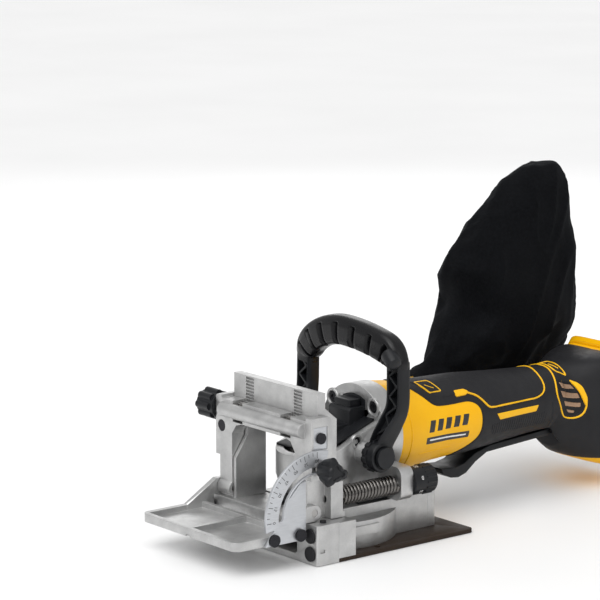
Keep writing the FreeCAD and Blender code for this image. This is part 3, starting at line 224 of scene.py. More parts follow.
def rolled_metal(name, light, dark, roughness, stretch, metallic=1.0, **sockets):
    """Rolled or ground metal: fine lines along one axis, with faint smears."""
    f = Finish(name, metallic=metallic, **sockets)
    lines = f.speckle(0.9, 4, stretch)
    smear = f.between(f.speckle(18, 4), 0.0, 1.0)
    tone = f.blend(f.between(lines, 0.0, 1.0), dark, light)
    outer_edges, rounded = f.edges(0.35, 0.6)
    tone = f.blend(smear, tone, tuple(c * 0.86 for c in light))
    f.colour(f.blend(outer_edges, tone, tuple(min(1.0, c * 1.5) for c in light)))
    f.rough(f.between(smear, roughness - 0.06, roughness + 0.1, 0.0, 1.0))
    f.relief(lines, 0.02, rounded)
    return f.material


def moulded(name, colour, shade, roughness, grain=0.5, depth=0.05, edge_wear_and_highlight=None, **sockets):
    """Moulded plastic or rubber: spark-eroded grain, slight tone change, and edges painted lighter, partly as
    rubbed wear and partly as a painted highlight.
    """
    f = Finish(name, **sockets)
    cloud = f.between(f.speckle(26, 4), 0.0, 1.0)
    tone = f.blend(cloud, colour, shade)
    outer_edges, rounded = f.edges(0.6, 0.5)
    # Outside edges are painted lighter: partly rubbed wear, partly a painted highlight along the edges.
    edge = edge_wear_and_highlight or tuple(min(1.0, c * 1.35 + 0.01) for c in colour)
    f.colour(f.blend(outer_edges, tone, edge))
    f.rough(f.between(f.speckle(7, 4), roughness - 0.06, roughness + 0.08))
    fine = f.relief(f.speckle(grain, 2), depth, rounded)
    f.relief(f.speckle(9.0, 2), 0.08, fine)
    return f.material


def dimpled(name, colour, shade, roughness, pitch, depth):
    """Soft overmould with a regular field of tiny dimples."""
    f = Finish(name, Specular_IOR_Level=0.22)
    cloud = f.between(f.speckle(30, 4), 0.0, 1.0)
    cells = f.add("TexVoronoi", {"feature": "F1"}, Vector=f.place, Scale=1 / (pitch * MM), Randomness=0.25)
    dots = f.between(cells.outputs["Distance"], 0.0, 1.0, 0.15, 0.6)
    outer_edges, rounded = f.edges(0.6, 0.4)
    # The dimples' floors take a share of the shade colour: painted shade in the pits.
    tone = f.blend(f.between(dots, 0.75, 1.0, 0.0, 1.0), shade, f.blend(cloud, colour, shade))
    f.colour(f.blend(outer_edges, tone, tuple(c * 1.8 + 0.01 for c in colour)))
    f.rough(f.between(f.speckle(6, 3), roughness - 0.05, roughness + 0.07))
    pits = f.relief(dots, depth, rounded)
    f.relief(f.speckle(0.4, 2), 0.02, pits)
    return f.material


def woven(name, colour, shade, pitch):
    """Tight plain-weave cloth: crossing threads, lint and a soft sheen."""
    f = Finish(name, Sheen_Weight=0.025, Sheen_Roughness=0.45, Specular_IOR_Level=0.08)
    f.shader.inputs["Sheen Tint"].default_value = (0.55, 0.6, 0.7, 1)
    scale = 1 / (pitch * MM) / 6.2832
    warp = f.add("TexWave", {"bands_direction": "Z"}, Vector=f.place, Scale=scale, Distortion=0.6)
    weft = f.add("TexWave", {"bands_direction": "Y"}, Vector=f.place, Scale=scale, Distortion=0.6)
    warp.inputs["Detail Scale"].default_value = 2.0
    threads = f.add("Math", {"operation": "MAXIMUM"})
    f.tree.links.new(warp.outputs["Fac"], threads.inputs[0])
    f.tree.links.new(weft.outputs["Fac"], threads.inputs[1])
    lint = f.between(f.speckle(2.2, 5), 0.0, 1.0, 0.35, 0.75)
    cloud = f.between(f.speckle(45, 4), 0.0, 1.0)
    # Between the threads the colour goes to the shade colour: painted shade in the gaps of the weave.
    tone = f.blend(threads.outputs[0], shade, f.blend(cloud, colour, shade))
    f.colour(f.blend(f.between(lint, 0.0, 0.35, 0.0, 1.0), tone, tuple(c * 2.0 for c in colour)))
    f.rough(f.between(cloud, 0.82, 0.96, 0.0, 1.0))
    weave = f.relief(threads.outputs[0], 0.12)
    f.relief(f.speckle(12, 3), 0.5, weave)
    return f.material


def printed(name, colour):
    """Ink or paint: almost even, thinner in small spots."""
    f = Finish(name, roughness=0.45)
    thin = f.between(f.speckle(0.9, 3), 0.0, 0.3, 0.45, 0.8)
    f.colour(f.blend(thin, colour, tuple(c * 0.6 + 0.1 for c in colour)))
    f.relief(f.speckle(0.5, 2), 0.01)
    return f.material


def circuit(name):
    """Green board with paler copper runs under the lacquer."""
    f = Finish(name, roughness=0.35)
    runs = f.add("TexBrick", Vector=f.place, Scale=90.0)
    f.colour(f.blend(runs.outputs["Fac"], (0.03, 0.16, 0.07), (0.10, 0.30, 0.12)))
    f.relief(runs.outputs["Fac"], 0.05)
    return f.material


def floor_finish():
    """Pale studio floor with a very faint change of tone."""
    f = Finish("floor", roughness=0.55)
    f.colour(f.blend(f.between(f.speckle(300, 3), 0.0, 1.0), (0.90, 0.90, 0.90), (0.93, 0.93, 0.93)))
    return f.material


ALUMINIUM = cast_metal("cast_aluminium", (0.63, 0.63, 0.625), (0.48, 0.48, 0.48), 0.44)
SOLE = rolled_metal("sole_steel", (0.040, 0.028, 0.021), (0.026, 0.019, 0.014), 0.45, (1, 0.06, 1), 0.1,
                    Specular_IOR_Level=0.1)
STEEL = rolled_metal("steel", (0.50, 0.49, 0.48), (0.32, 0.31, 0.30), 0.28, (0.3, 1, 1))
SPRING_STEEL = rolled_metal("spring_steel", (0.20, 0.19, 0.18), (0.10, 0.095, 0.09), 0.25, (1, 1, 1))
BLACK_STEEL = rolled_metal("black_steel", (0.035, 0.035, 0.04), (0.016, 0.016, 0.018), 0.36, (1, 1, 1), 0.85)
SCALE = rolled_metal("scale_plate", (0.60, 0.615, 0.64), (0.50, 0.515, 0.54), 0.36, (1, 0.12, 1), 0.75)
BLACK = moulded("black_plastic", (0.0065, 0.007, 0.0085), (0.010, 0.011, 0.013), 0.38, 0.6, 0.04,
                Specular_IOR_Level=0.28)
GLOSSY = moulded("smooth_black", (0.004, 0.004, 0.005), (0.006, 0.006, 0.007), 0.27, 0.9, 0.015,
                 Specular_IOR_Level=0.27)
# Its edge colour is a lighter yellow: partly rubbed wear, partly a painted highlight.
YELLOW = moulded("yellow_plastic", (0.97, 0.515, 0.004), (0.92, 0.465, 0.004), 0.36, 0.5, 0.03,
                 edge_wear_and_highlight=(1.0, 0.62, 0.03), Specular_IOR_Level=0.22)
TRIM = moulded("yellow_trim", (0.95, 0.52, 0.006), (0.90, 0.465, 0.005), 0.40, 0.4, 0.02,
               Specular_IOR_Level=0.3)
RUBBER = dimpled("soft_rubber", (0.019, 0.019, 0.021), (0.014, 0.014, 0.016), 0.58, 0.9, 0.05)
BAND = moulded("rubber_band", (0.012, 0.012, 0.0135), (0.017, 0.017, 0.019), 0.50, 0.5, 0.04,
               Specular_IOR_Level=0.22)
CLOTH = woven("bag_cloth", (0.0042, 0.0046, 0.0056), (0.0022, 0.0024, 0.0030), 0.55)
COPPER = rolled_metal("copper", (0.45, 0.29, 0.19), (0.26, 0.16, 0.10), 0.32, (1, 1, 0.2), 0.8)
BOARD = circuit("board_green")
WHITE_INK = printed("white_ink", (0.82, 0.82, 0.82))
BLACK_INK = printed("black_ink", (0.012, 0.012, 0.013))

SLOT_FINISH = {
    "cast_aluminium": ALUMINIUM, "sole_steel": SOLE, "steel": STEEL, "black_steel": BLACK_STEEL,
    "scale_plate": SCALE, "black_plastic": BLACK, "yellow_plastic": YELLOW, "soft_rubber": RUBBER,
    "bag_cloth": CLOTH, "copper": COPPER, "board_green": BOARD,
}

NODE_SLOT = {name: node.data.materials[0].name.split(".")[0] for name, node in nodes.items()}
for name, node in nodes.items():
    for index in range(len(node.data.materials)):
        node.data.materials[index] = SLOT_FINISH[NODE_SLOT[name]]


# ---------------------------------------------------------------- mesh helpers

WELD = 0.002                        # points closer than this, in millimetres, are one
FLAT_ANGLE = math.radians(0.6)      # faces that meet at less are one face
SHARP_ANGLE = math.radians(32)      # edges that turn more are rounded over
CAPITAL_HEIGHT = 0.7                # height of a capital in a font of size 1


def piece(name, points, faces, body, slot, material, replaces=(), smooth=40):
    """A new mesh piece from points in millimetres, riding on a body."""
    mesh = bpy.data.meshes.new(name)
    mesh.from_pydata([Vector(p) * MM for p in points], [], faces)
    work = bmesh.new()
    work.from_mesh(mesh)
    bmesh.ops.recalc_face_normals(work, faces=work.faces)
    work.to_mesh(mesh)
    work.free()
    return finished(name, mesh, body, slot, material, replaces, smooth)


def finished(name, mesh, body, slot, material, replaces=(), smooth=40):
    """Links a mesh as a named piece with its finish, its body and its smooth angle."""
    thing = bpy.data.objects.new(name, mesh)
    bpy.context.scene.collection.objects.link(thing)
    mesh.materials.clear()
    mesh.materials.append(material)
    for face in mesh.polygons:
        face.use_smooth = smooth > 0
    if smooth:
        mesh.set_sharp_from_angle(angle=math.radians(smooth))
    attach(thing, body)
    if replaces:
        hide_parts(*replaces)
    return thing


def joined(parts):
    """One list of points and one of faces, from several (points, faces)."""
    points, faces = [], []
    for more_points, more_faces in parts:
        start = len(points)
        points += list(more_points)
        faces += [[start + i for i in face] for face in more_faces]
    return points, faces


def loft(rings, close=True):
    """Skins equal rings of points, closed at both ends unless told not to."""
    count = len(rings[0])
    points = [p for ring in rings for p in ring]
    faces = []
    for i in range(len(rings) - 1):
        for j in range(count):
            k = (j + 1) % count
            faces.append([i * count + j, i * count + k, (i + 1) * count + k, (i + 1) * count + j])
    if close:
        faces.append(list(range(count))[::-1])
        faces.append([(len(rings) - 1) * count + j for j in range(count)])
    return points, faces


def turned(profile, centre, axis, segments, wobble=None, hollow=False):
    """A turned shape: profile is (distance along axis, radius); wobble changes a radius by its angle.

    A hollow one is a closed profile, so it becomes a ring.
    """
    profile = profile + profile[:1] if hollow else profile
    axis = Vector(axis).normalized()
    side = axis.orthogonal().normalized()
    up = axis.cross(side)
    rings = []
    for along, radius in profile:
        ring = []
        for j in range(segments):
            turn = 2 * math.pi * j / segments
            r = radius if wobble is None else wobble(radius, turn, along)
            ring.append(Vector(centre) + axis * along + (side * math.cos(turn) + up * math.sin(turn)) * r)
        rings.append(ring)
    return loft(rings, not hollow)


def softened(node, width):
    """A copy of a CAD node with its sharp edges rounded over, standing for the node."""
    copy = nodes[node].data.copy()
    work = bmesh.new()
    work.from_mesh(copy)
    bmesh.ops.remove_doubles(work, verts=work.verts, dist=WELD * MM)
    bmesh.ops.dissolve_limit(work, angle_limit=FLAT_ANGLE, verts=work.verts, edges=work.edges)
    sharp = [e for e in work.edges if len(e.link_faces) == 2 and e.calc_face_angle(0) > SHARP_ANGLE]
    bmesh.ops.bevel(work, geom=sharp, offset=width * MM, segments=2, profile=0.6,
                    affect="EDGES", clamp_overlap=True, miter_outer="ARC")
    work.to_mesh(copy)
    work.free()
    return finished("soft_" + node, copy, nodes[node]["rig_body"], NODE_SLOT[node],
                    SLOT_FINISH[NODE_SLOT[node]], [node])


def catmull(points, count):
    """Smooth run of count points through a few."""
    points = [Vector(p) for p in points]
    ends = [2 * points[0] - points[1]] + points + [2 * points[-1] - points[-2]]
    out = []
    for k in range(count):
        t = k / (count - 1) * (len(points) - 1)
        i = min(int(t), len(points) - 2)
        t -= i
        a, b, c, d = ends[i:i + 4]
        out.append(0.5 * ((2 * b) + (c - a) * t + (2 * a - 5 * b + 4 * c - d) * t * t
                          + (3 * b - a - 3 * c + d) * t ** 3))
    return out


def lettering(text, height, centre, right, up):
    """Flat mesh letters of a height in millimetres, centred, with their reading direction."""
    curve = bpy.data.curves.new("letters", "FONT")
    curve.body, curve.align_x, curve.align_y, curve.size = text, "CENTER", "CENTER", 1.0
    holder = bpy.data.objects.new("letters", curve)
    mesh = bpy.data.meshes.new_from_object(holder)
    scale = height / CAPITAL_HEIGHT
    right, up = Vector(right).normalized(), Vector(up).normalized()
    points = [Vector(centre) + (right * v.co.x + up * v.co.y) * scale for v in mesh.vertices]
    faces = [list(p.vertices) for p in mesh.polygons]
    bpy.data.objects.remove(holder)
    return points, faces


# ---------------------------------------------------------------- motor housing and battery foot

MOTOR_Z, FOOT_Z = 75.5, 62.0            # middle of the barrel and of the foot
NECK_START, NECK_END = 212.0, 262.0     # Y over which one becomes the other
ARC_MM = 0.54                           # length on the barrel of one degree
SKIN_STEP, SKIN_TURN = 0.5, 0.8         # the skin grid's pitch along Y and in degrees
SKIN_FRONT, SKIN_BACK = 54.0, 300.0
SKIN_MIDDLE_Z = 68.0                    # a height inside every section, which tells outward from inward
WALL_DEPTH = 0.25                       # how far a patch's wall reaches under the skin
RAY_START = 90.0                        # distance from the axis at which the skin's rays start
CUT_Y = 237.0                           # Y where the housing halves end and the lofted foot takes over


def smoothstep(value, start, end):
    """0 before start, 1 after end, and a smooth rise between them."""
    t = min(1.0, max(0.0, (value - start) / (end - start)))
    return t * t * (3 - 2 * t)


def barrel(node):
    """A rounded-over copy of a housing half that ends where the battery foot begins."""
    half = softened(node, 0.6)
    work = bmesh.new()
    work.from_mesh(half.data)
    bmesh.ops.bisect_plane(work, geom=work.verts[:] + work.edges[:] + work.faces[:],
                           plane_co=(0, CUT_Y * MM, 0), plane_no=(0, 1, 0), clear_outer=True)
    work.to_mesh(half.data)
    work.free()
    return half


# the foot's cross-sections: Y, half width, lowest and highest Z, squareness
foot_low, foot_high = box("housing_left")[0].z + 0.05, box("housing_left")[1].z - 0.05
FOOT_SECTIONS = [
    (229, 25.6, 49.9, 101.1, 2.0), (236, 26.0, 40.5, 101.4, 2.05), (246, 27.8, 31.5, 102.2, 2.3),
    (254, 30.8, 27.0, 103.4, 2.8), (262, 34.2, 22.8, 104.9, 3.6), (272, 37.0, 19.0, 106.2, 5.0),
    (284, 38.0, 15.8, 107.2, 7.0), (297, 38.0, 14.0, 107.8, 8.5), (312, 38.0, foot_low, foot_high, 9.0),
]
PADDLE_HALF, PADDLE_END, PADDLE_TOP = 14.2, 241.0, 54.6     # the room left for the paddle
LEAN_START = 296                                            # Y from which the rear leans forward on top
REAR_ROUND, REAR_WALL, REAR_FLOOR = 0.8, 3.4, 298.5         # the hollow rear's edge, wall and floor
FOOT_RINGS, FOOT_SEGMENTS = 70, 120


def foot_ring(y, half, low, high, square, inset=0.0):
    """A rounded-square ring of the foot, with room for the paddle and a rear that leans forward on top."""
    ring = []
    for j in range(FOOT_SEGMENTS):
        turn = 2 * math.pi * j / FOOT_SEGMENTS
        c, s = math.cos(turn), math.sin(turn)
        x = (half - inset) * math.copysign(abs(c) ** (2 / square), c)
        z = (low + high) / 2 + ((high - low) / 2 - inset) * math.copysign(abs(s) ** (2 / square), s)
        if abs(x) < PADDLE_HALF and y < PADDLE_END:
            z = max(z, PADDLE_TOP)
        lean = 0.7 * max(0.0, y - LEAN_START) * smoothstep(z, 70.0, 104.0)
        ring.append(Vector((x, y - lean, z)))
    return ring


widths = catmull([(y, half, low) for y, half, low, high, square in FOOT_SECTIONS], FOOT_RINGS)
tops = catmull([(y, high, square) for y, half, low, high, square in FOOT_SECTIONS], FOOT_RINGS)
rings = [foot_ring(w.x, w.y, w.z, t.y, t.z) for w, t in zip(widths, tops)]
rear = FOOT_SECTIONS[-1]
rings += [foot_ring(*rear, REAR_ROUND), foot_ring(rear[0] - REAR_ROUND, *rear[1:], REAR_WALL),
          foot_ring(REAR_FLOOR, *rear[1:], REAR_WALL)]
barrels = barrel("housing_left"), barrel("housing_right")
foot = piece("battery_foot", *loft(rings), "motor_unit", "yellow_plastic", YELLOW, smooth=45)


def housing_skin():
    """The housing's outside as a grid over Y and the angle from the top, by casting rays inward."""
    points, faces = joined([([v.co / MM for v in mesh.vertices], [list(p.vertices) for p in mesh.polygons])
                            for mesh in (part.data for part in (*barrels, foot))])
    tree = BVHTree.FromPolygons(points, faces)
    ys = np.arange(SKIN_FRONT, SKIN_BACK, SKIN_STEP)
    turns = np.arange(-180.0, 180.0 + SKIN_TURN / 2, SKIN_TURN)
    skin = np.zeros((len(ys), len(turns), 3))
    for i, y in enumerate(ys):
        z = MOTOR_Z + (FOOT_Z - MOTOR_Z) * smoothstep(y, NECK_START, NECK_END)
        for j, turn in enumerate(turns):
            out = Vector((math.sin(math.radians(turn)), 0, math.cos(math.radians(turn))))
            hit = tree.ray_cast(Vector((0, y, z)) + out * RAY_START, -out)[0]
            skin[i, j] = hit if hit is not None else (skin[i - 1, j] + (0, SKIN_STEP, 0) if i else out * 30)
    return ys, turns, skin


ys, turns, skin = housing_skin()
along = np.gradient(skin, axis=0)
around = np.gradient(skin, axis=1)
skin_normal = np.cross(around, along)
skin_normal /= np.maximum(np.linalg.norm(skin_normal, axis=2, keepdims=True), 1e-9)
middle = np.zeros_like(skin)
middle[..., 1], middle[..., 2] = skin[..., 1], SKIN_MIDDLE_Z
outward = skin - middle
skin_normal *= np.sign((skin_normal * outward).sum(-1, keepdims=True))
grid_y = np.repeat(ys[:, None], len(turns), 1)
grid_turn = np.repeat(turns[None, :], len(ys), 0)


def smooth_path(points, radius, closed=False):
    """The path with each corner rounded off within radius millimetres of it."""
    flat = [Vector((y, turn * ARC_MM)) for y, turn in points]
    count = len(flat)
    out = []
    for k, corner in enumerate(flat):
        if not closed and k in (0, count - 1):
            out.append(corner)
            continue
        before, after = flat[k - 1] - corner, flat[(k + 1) % count] - corner
        start = corner + before.normalized() * min(radius, 0.48 * before.length)
        end = corner + after.normalized() * min(radius, 0.48 * after.length)
        for step in range(5):
            t = step / 4
            out.append(start * (1 - t) ** 2 + corner * 2 * t * (1 - t) + end * t * t)
    return [(p.x, p.y / ARC_MM) for p in out]


def distance_to(points, closed, y, s):
    """Distance in millimetres from places on the skin to a path of (Y, degrees from the top)."""
    best = np.full(y.shape, 1e9)
    for (ay, at), (by, bt) in zip(points, points[1:] + points[:1] if closed else points[1:]):
        ax, bx = at * ARC_MM, bt * ARC_MM
        dy, ds = by - ay, bx - ax
        t = np.clip(((y - ay) * dy + (s - ax) * ds) / max(dy * dy + ds * ds, 1e-9), 0, 1)
        best = np.minimum(best, np.hypot(y - ay - t * dy, s - ax - t * ds))
    return best


def places(stride, mirrored):
    """Y and the angle from the top of each grid point; mirrored gives both sides the same angles."""
    turn = grid_turn[::stride, ::stride]
    return grid_y[::stride, ::stride], np.abs(turn) if mirrored else turn


def line(points, width, radius=4.0, closed=False, mirrored=True):
    """A field that is positive within a line of that width."""
    path = smooth_path(points, radius, closed)

    def field(stride):
        y, turn = places(stride, mirrored)
        return width / 2 - distance_to(path, closed, y, turn * ARC_MM)
    return field


def area(points, radius=1.0, mirrored=True):
    """A field that is positive inside a closed outline."""
    path = smooth_path(points, radius, True)

    def field(stride):
        y, turn = places(stride, mirrored)
        inside = np.zeros(y.shape, bool)
        for (ay, at), (by, bt) in zip(path, path[1:] + path[:1]):
            crosses = (at > turn) != (bt > turn)
            slope = np.where(crosses, (by - ay) * (turn - at) / ((bt - at) or 1e-9) + ay, 0)
            inside ^= crosses & (y < slope)
        return np.where(inside, 1, -1) * distance_to(path, True, y, turn * ARC_MM)
    return field


def patch(name, field, height, material, slot, stride=1, edge=0.7, ribs=None):
    """A raised patch of the housing's skin where field is positive, with a rounded edge and a wall.

    Stride takes only some of the grid's points, edge is the width of the rounding, and ribs adds height.
    """
    value = field(stride)
    place, out = skin[::stride, ::stride], skin_normal[::stride, ::stride]
    points, roots, faces, index, edge_uses = [], [], [], {}, {}

    def vertex(key, spot, normal, f):
        """The number of the point that stands over a place on the skin, made once."""
        if key not in index:
            rise = math.sqrt(max(0.0, 1 - (1 - min(1.0, max(f, 0.0) / edge)) ** 2))
            tall = height * (0.35 + 0.65 * rise)
            if ribs is not None:
                tall += ribs(spot) * rise
            index[key] = len(points)
            points.append(Vector(spot) + Vector(normal) * tall)
            roots.append(Vector(spot) - Vector(normal) * WALL_DEPTH)
        return index[key]

    raised = value > 0
    active = np.argwhere(raised[:-1, :-1] | raised[1:, :-1] | raised[:-1, 1:] | raised[1:, 1:])
    for i, j in active:
        corners = [(i, j), (i + 1, j), (i + 1, j + 1), (i, j + 1)]
        loop = []
        for (a, b) in zip(corners, corners[1:] + corners[:1]):
            fa, fb = value[a], value[b]
            if fa > 0:
                loop.append(vertex(a, place[a], out[a], fa))
            if (fa > 0) != (fb > 0):
                t = fa / (fa - fb)
                spot, normal = place[a] * (1 - t) + place[b] * t, out[a] * (1 - t) + out[b] * t
                loop.append(vertex((min(a, b), max(a, b)), spot, normal, 0.0))
        if len(set(loop)) >= 3:
            faces.append(loop)
            for a, b in zip(loop, loop[1:] + loop[:1]):
                side = (min(a, b), max(a, b))
                edge_uses[side] = edge_uses.get(side, 0) + 1
    wall = {}
    for (a, b), uses in edge_uses.items():
        if uses == 1:
            for v in (a, b):
                if v not in wall:
                    wall[v] = len(points)
                    points.append(roots[v])
            faces.append([a, b, wall[b], wall[a]])
    return piece(name, points, faces, "motor_unit", slot, material, smooth=50)


def z_above(level):
    """A field that is positive above a height."""
    return lambda stride: skin[::stride, ::stride, 2] - level


def both(*fields):
    """A field that is positive where all of them are."""
    return lambda stride: np.minimum.reduce([f(stride) for f in fields])


def without(field, *others):
    """A field that is positive where the first is and none of the others are."""
    return lambda stride: np.minimum.reduce([field(stride)] + [-f(stride) for f in others])


# Outlines on the housing, as (Y, degrees from the top). Both sides get the same, apart from the rear
# badge, which lies across the top.
REAR = 291.5
COVER = [(66, -4), (80, 32), (93, 59), (112, 60), (130, 59), (138, 66), (141.5, 78), (141.5, 106), (138, 119),
         (130, 132), (118, 150), (112, 184), (REAR, 184), (REAR, -4)]
PAD = [(72, -4), (90, 25), (97, 48), (118, 47.5), (131, 47), (139, 53), (144, 62), (149, 73), (154, 74.5),
       (205, 73), (213, 67), (216, 56), (216.5, 43), (217, 24), (219, -4)]
PAD_LINE = [(131, 46.5), (139, 53), (144, 62), (149, 73), (154, 74.5), (205, 73), (213, 67), (216, 56),
            (216.5, 43), (217, 24), (219, -1)]
BLOB = [(118.5, 40.5), (129, 40), (133, 45), (129.5, 50.5), (118.5, 51)]
BAR = [(157.5, 85), (206, 85), (203, 95.5), (161, 95.5)]
RIB_FIELD = [(152, 99), (216, 99), (219, 126), (154, 118)]
RIB_HEIGHT, RIB_PITCH = 0.35, 2.6
SEAM = [(221, 84), (222, 100), (224.5, 134)]
VENT_LINE = [(232, -1), (233, 14), (231, 34), (228, 56), (227, 70), (230, 84), (234, 101), (236.5, 104),
             (243.5, 100), (250, 93), (254, 83), (255.5, 69), (254, 58), (251, 49), (248, 44), (245, 41)]
VENT_WEDGE = [(244, 41), (249, 42.5), (253, 50), (256.2, 66), (255, 80), (252.5, 70), (250, 58), (247, 48.5)]
VENT_WELL = [(231.5, 42), (243, 42), (250, 51), (253, 67), (252, 81), (248, 90), (238, 98), (234, 94),
             (230.5, 80), (229.5, 62)]
LOUVRES = [[(233, 45), (244, 46), (246.5, 52), (234.5, 54)],
           [(232, 59.5), (248.5, 58), (250, 65), (233.5, 69.5)],
           [(234.5, 75), (250.5, 71.5), (250, 78.5), (236, 83)],
           [(237, 88), (245, 86), (244, 91), (238.5, 93)]]
FRONT_BADGE = [(88, 16), (103, 13), (107, 38), (94, 39)]
REAR_BADGE = [(236.5, -14), (244.5, -8), (243.5, 33), (236, 22)]
LABEL_BAR = [(81, 98), (128, 102), (128, 112), (81, 107.5)]
LABEL_STRIPE = [(85, 102.5), (124, 106.5)]
LABEL_BLOCK_TOP, LABEL_BLOCK_LOW = 76.5, 92.0
LABEL_BLOCK_START, LABEL_BLOCK_PITCH = 83, 9.1
PANEL_CREASE = [(76, 120), (112, 124)]
FRONT_CREASE = [(62, 30), (64, 90), (63, 150)]
FOOT_BAND_TOP = 25.0

cover = both(area(COVER, 6.0), z_above(FOOT_BAND_TOP))
patch("cover_base", cover, 0.3, BAND, "soft_rubber", stride=2)
patch("cover", without(cover, line(SEAM, 1.0), area(VENT_WELL, 3.0)), 0.8, BAND, "soft_rubber",
      stride=2, edge=1.6)
patch("grip_pad", area(PAD, 4.0), 1.35, RUBBER, "soft_rubber", stride=2, edge=1.4)
patch("pad_line", line(PAD_LINE, 1.7), 1.75, TRIM, "yellow_plastic", edge=0.5)
patch("pad_line_end", area(BLOB, 1.2), 1.85, TRIM, "yellow_plastic", edge=0.6)
patch("side_bar", area(BAR, 0.7), 1.25, TRIM, "yellow_plastic", edge=0.6)
patch("side_ribs", area(RIB_FIELD, 3.0), 0.9, BAND, "soft_rubber",
      ribs=lambda p: RIB_HEIGHT * math.cos(2 * math.pi * p[1] / RIB_PITCH))
patch("vent_line", line(VENT_LINE, 1.7), 1.35, TRIM, "yellow_plastic", edge=0.5)
patch("vent_wedge", area(VENT_WEDGE, 2.0), 1.55, TRIM, "yellow_plastic", edge=0.6)
patch("vent_well", area(VENT_WELL, 3.0), 0.4, GLOSSY, "black_plastic", edge=0.5)
for number, outline in enumerate(LOUVRES):
    patch(f"vent_louvre_{number + 1}", area(outline, 0.7), 0.9, COPPER, "copper", edge=0.5)
patch("badge_front", line(FRONT_BADGE, 1.3, 1.5, True), 1.75, TRIM, "yellow_plastic", edge=0.4)
patch("badge_rear", line(REAR_BADGE, 1.3, 1.5, True, False), 1.4, TRIM, "yellow_plastic", edge=0.4)
for name, outline, mirrored, tall in (("front", FRONT_BADGE, True, 1.6), ("rear", REAR_BADGE, False, 1.25)):
    (y0, t0), (y2, t2) = outline[0], outline[2]
    slash = [(0.62 * y0 + 0.38 * y2, 0.62 * t0 + 0.38 * t2), (0.30 * y0 + 0.70 * y2, 0.30 * t0 + 0.70 * t2)]
    patch(f"badge_slash_{name}", line(slash, 1.2, 0.1, False, mirrored), tall, TRIM, "yellow_plastic",
          edge=0.4)
patch("label_bar", area(LABEL_BAR, 0.8), 0.12, BLACK_INK, "black_plastic", edge=0.3)
patch("label_stripe", line(LABEL_STRIPE, 1.4, 0.1), 0.2, WHITE_INK, "black_plastic", edge=0.3)
for number in range(5):
    start = LABEL_BLOCK_START + LABEL_BLOCK_PITCH * number
    block = [(start, LABEL_BLOCK_LOW), (start + 2.6, LABEL_BLOCK_TOP), (start + 8.4, LABEL_BLOCK_TOP + 0.4),
             (start + 5.8, LABEL_BLOCK_LOW + 0.4)]
    patch(f"label_block_{number + 1}", area(block, 0.3), 0.12, BLACK_INK, "black_plastic", edge=0.3)
patch("panel_crease", line(PANEL_CREASE, 1.0, 0.1), 0.4, YELLOW, "yellow_plastic", edge=0.5)
patch("front_crease", line(FRONT_CREASE, 1.4, 6.0), 0.5, YELLOW, "yellow_plastic", edge=0.6)


# ---------------------------------------------------------------- castings and plates

for node in ("paddle_pin", "flange_screws"):
    nodes[node].data.materials[0] = BLACK_STEEL

for node in ("front_shoe", "blade_housing", "rear_cap", "carriage", "fence_plate", "gear_case",
             "upright_feet"):
    softened(node, 0.45)
for node in ("gear_cover", "spindle_lock_button", "paddle", "dust_port", "bag_collar", "battery_dock",
             "slide_plate"):
    softened(node, 0.5)
softened("angle_quadrant", 0.25)
softened("sole_plate", 0.3)


# rims and heads of the upper flange screws, and the smaller plug in the gear case's side
RIM = [(-1.0, 7.2), (1.3, 7.2), (1.8, 6.7), (1.8, 5.2), (1.3, 4.8), (-1.0, 4.8)]
HEAD = [(-0.8, 4.6), (0.3, 4.6), (0.8, 4.1), (0.8, 2.3), (-0.2, 2.1)]
PLUG_RIM = [(along, 0.8 * radius) for along, radius in RIM]
PLUG_HEAD = [(along - 0.3, 0.8 * radius) for along, radius in HEAD]
for side, name in ((1, "near"), (-1, "far")):
    spot, way = (side * 24.04, 36.0, 99.54), (0, -1, 0)
    piece(f"screw_rim_{name}", *turned(RIM, spot, way, 40, hollow=True), "motor_unit", "cast_aluminium",
          ALUMINIUM)
    piece(f"screw_head_{name}", *turned(HEAD, spot, way, 40), "motor_unit", "black_steel", BLACK_STEEL)
    spot, way = (side * 29.0, 14.0, 77.0), (side, 0, 0)
    piece(f"plug_rim_{name}", *turned(PLUG_RIM, spot, way, 40, hollow=True), "motor_unit",
          "cast_aluminium", ALUMINIUM)
    piece(f"plug_{name}", *turned(PLUG_HEAD, spot, way, 40), "motor_unit", "black_steel", BLACK_STEEL)

HINGE_Y, HINGE_Z = -50.0, 37.5
STUD_REACH, STUD_TURN = 34, math.radians(97)
STUD_Y, STUD_Z = HINGE_Y - STUD_REACH * math.cos(STUD_TURN), HINGE_Z + STUD_REACH * math.sin(STUD_TURN)
KNOB_TURN = math.radians(180)
KNOB = [(0, 6.2), (0.4, 6.5), (3, 6.6), (4.2, 7.0), (14.5, 7.2), (16.4, 6.6), (17.3, 5.4), (17.5, 3.6),
        (16.6, 3.2), (16.6, 0.3)]


def knob_lobes(radius, turn, along):
    """Three rounded lobes, one of them at the knob's own turn."""
    reach = smoothstep(along, 3.0, 6.0) * (1 - 0.4 * smoothstep(along, 14.5, 17.6))
    return radius + 5.2 * reach * max(0.0, math.cos(3 * (turn - KNOB_TURN))) ** 0.8


piece("clamp_knob_lobed", *turned(KNOB, (62.3, STUD_Y, STUD_Z), (1, 0, 0), 96, knob_lobes), "clamp",
      "black_plastic", BLACK, ["clamp_knob"])


# ---------------------------------------------------------------- bail handle

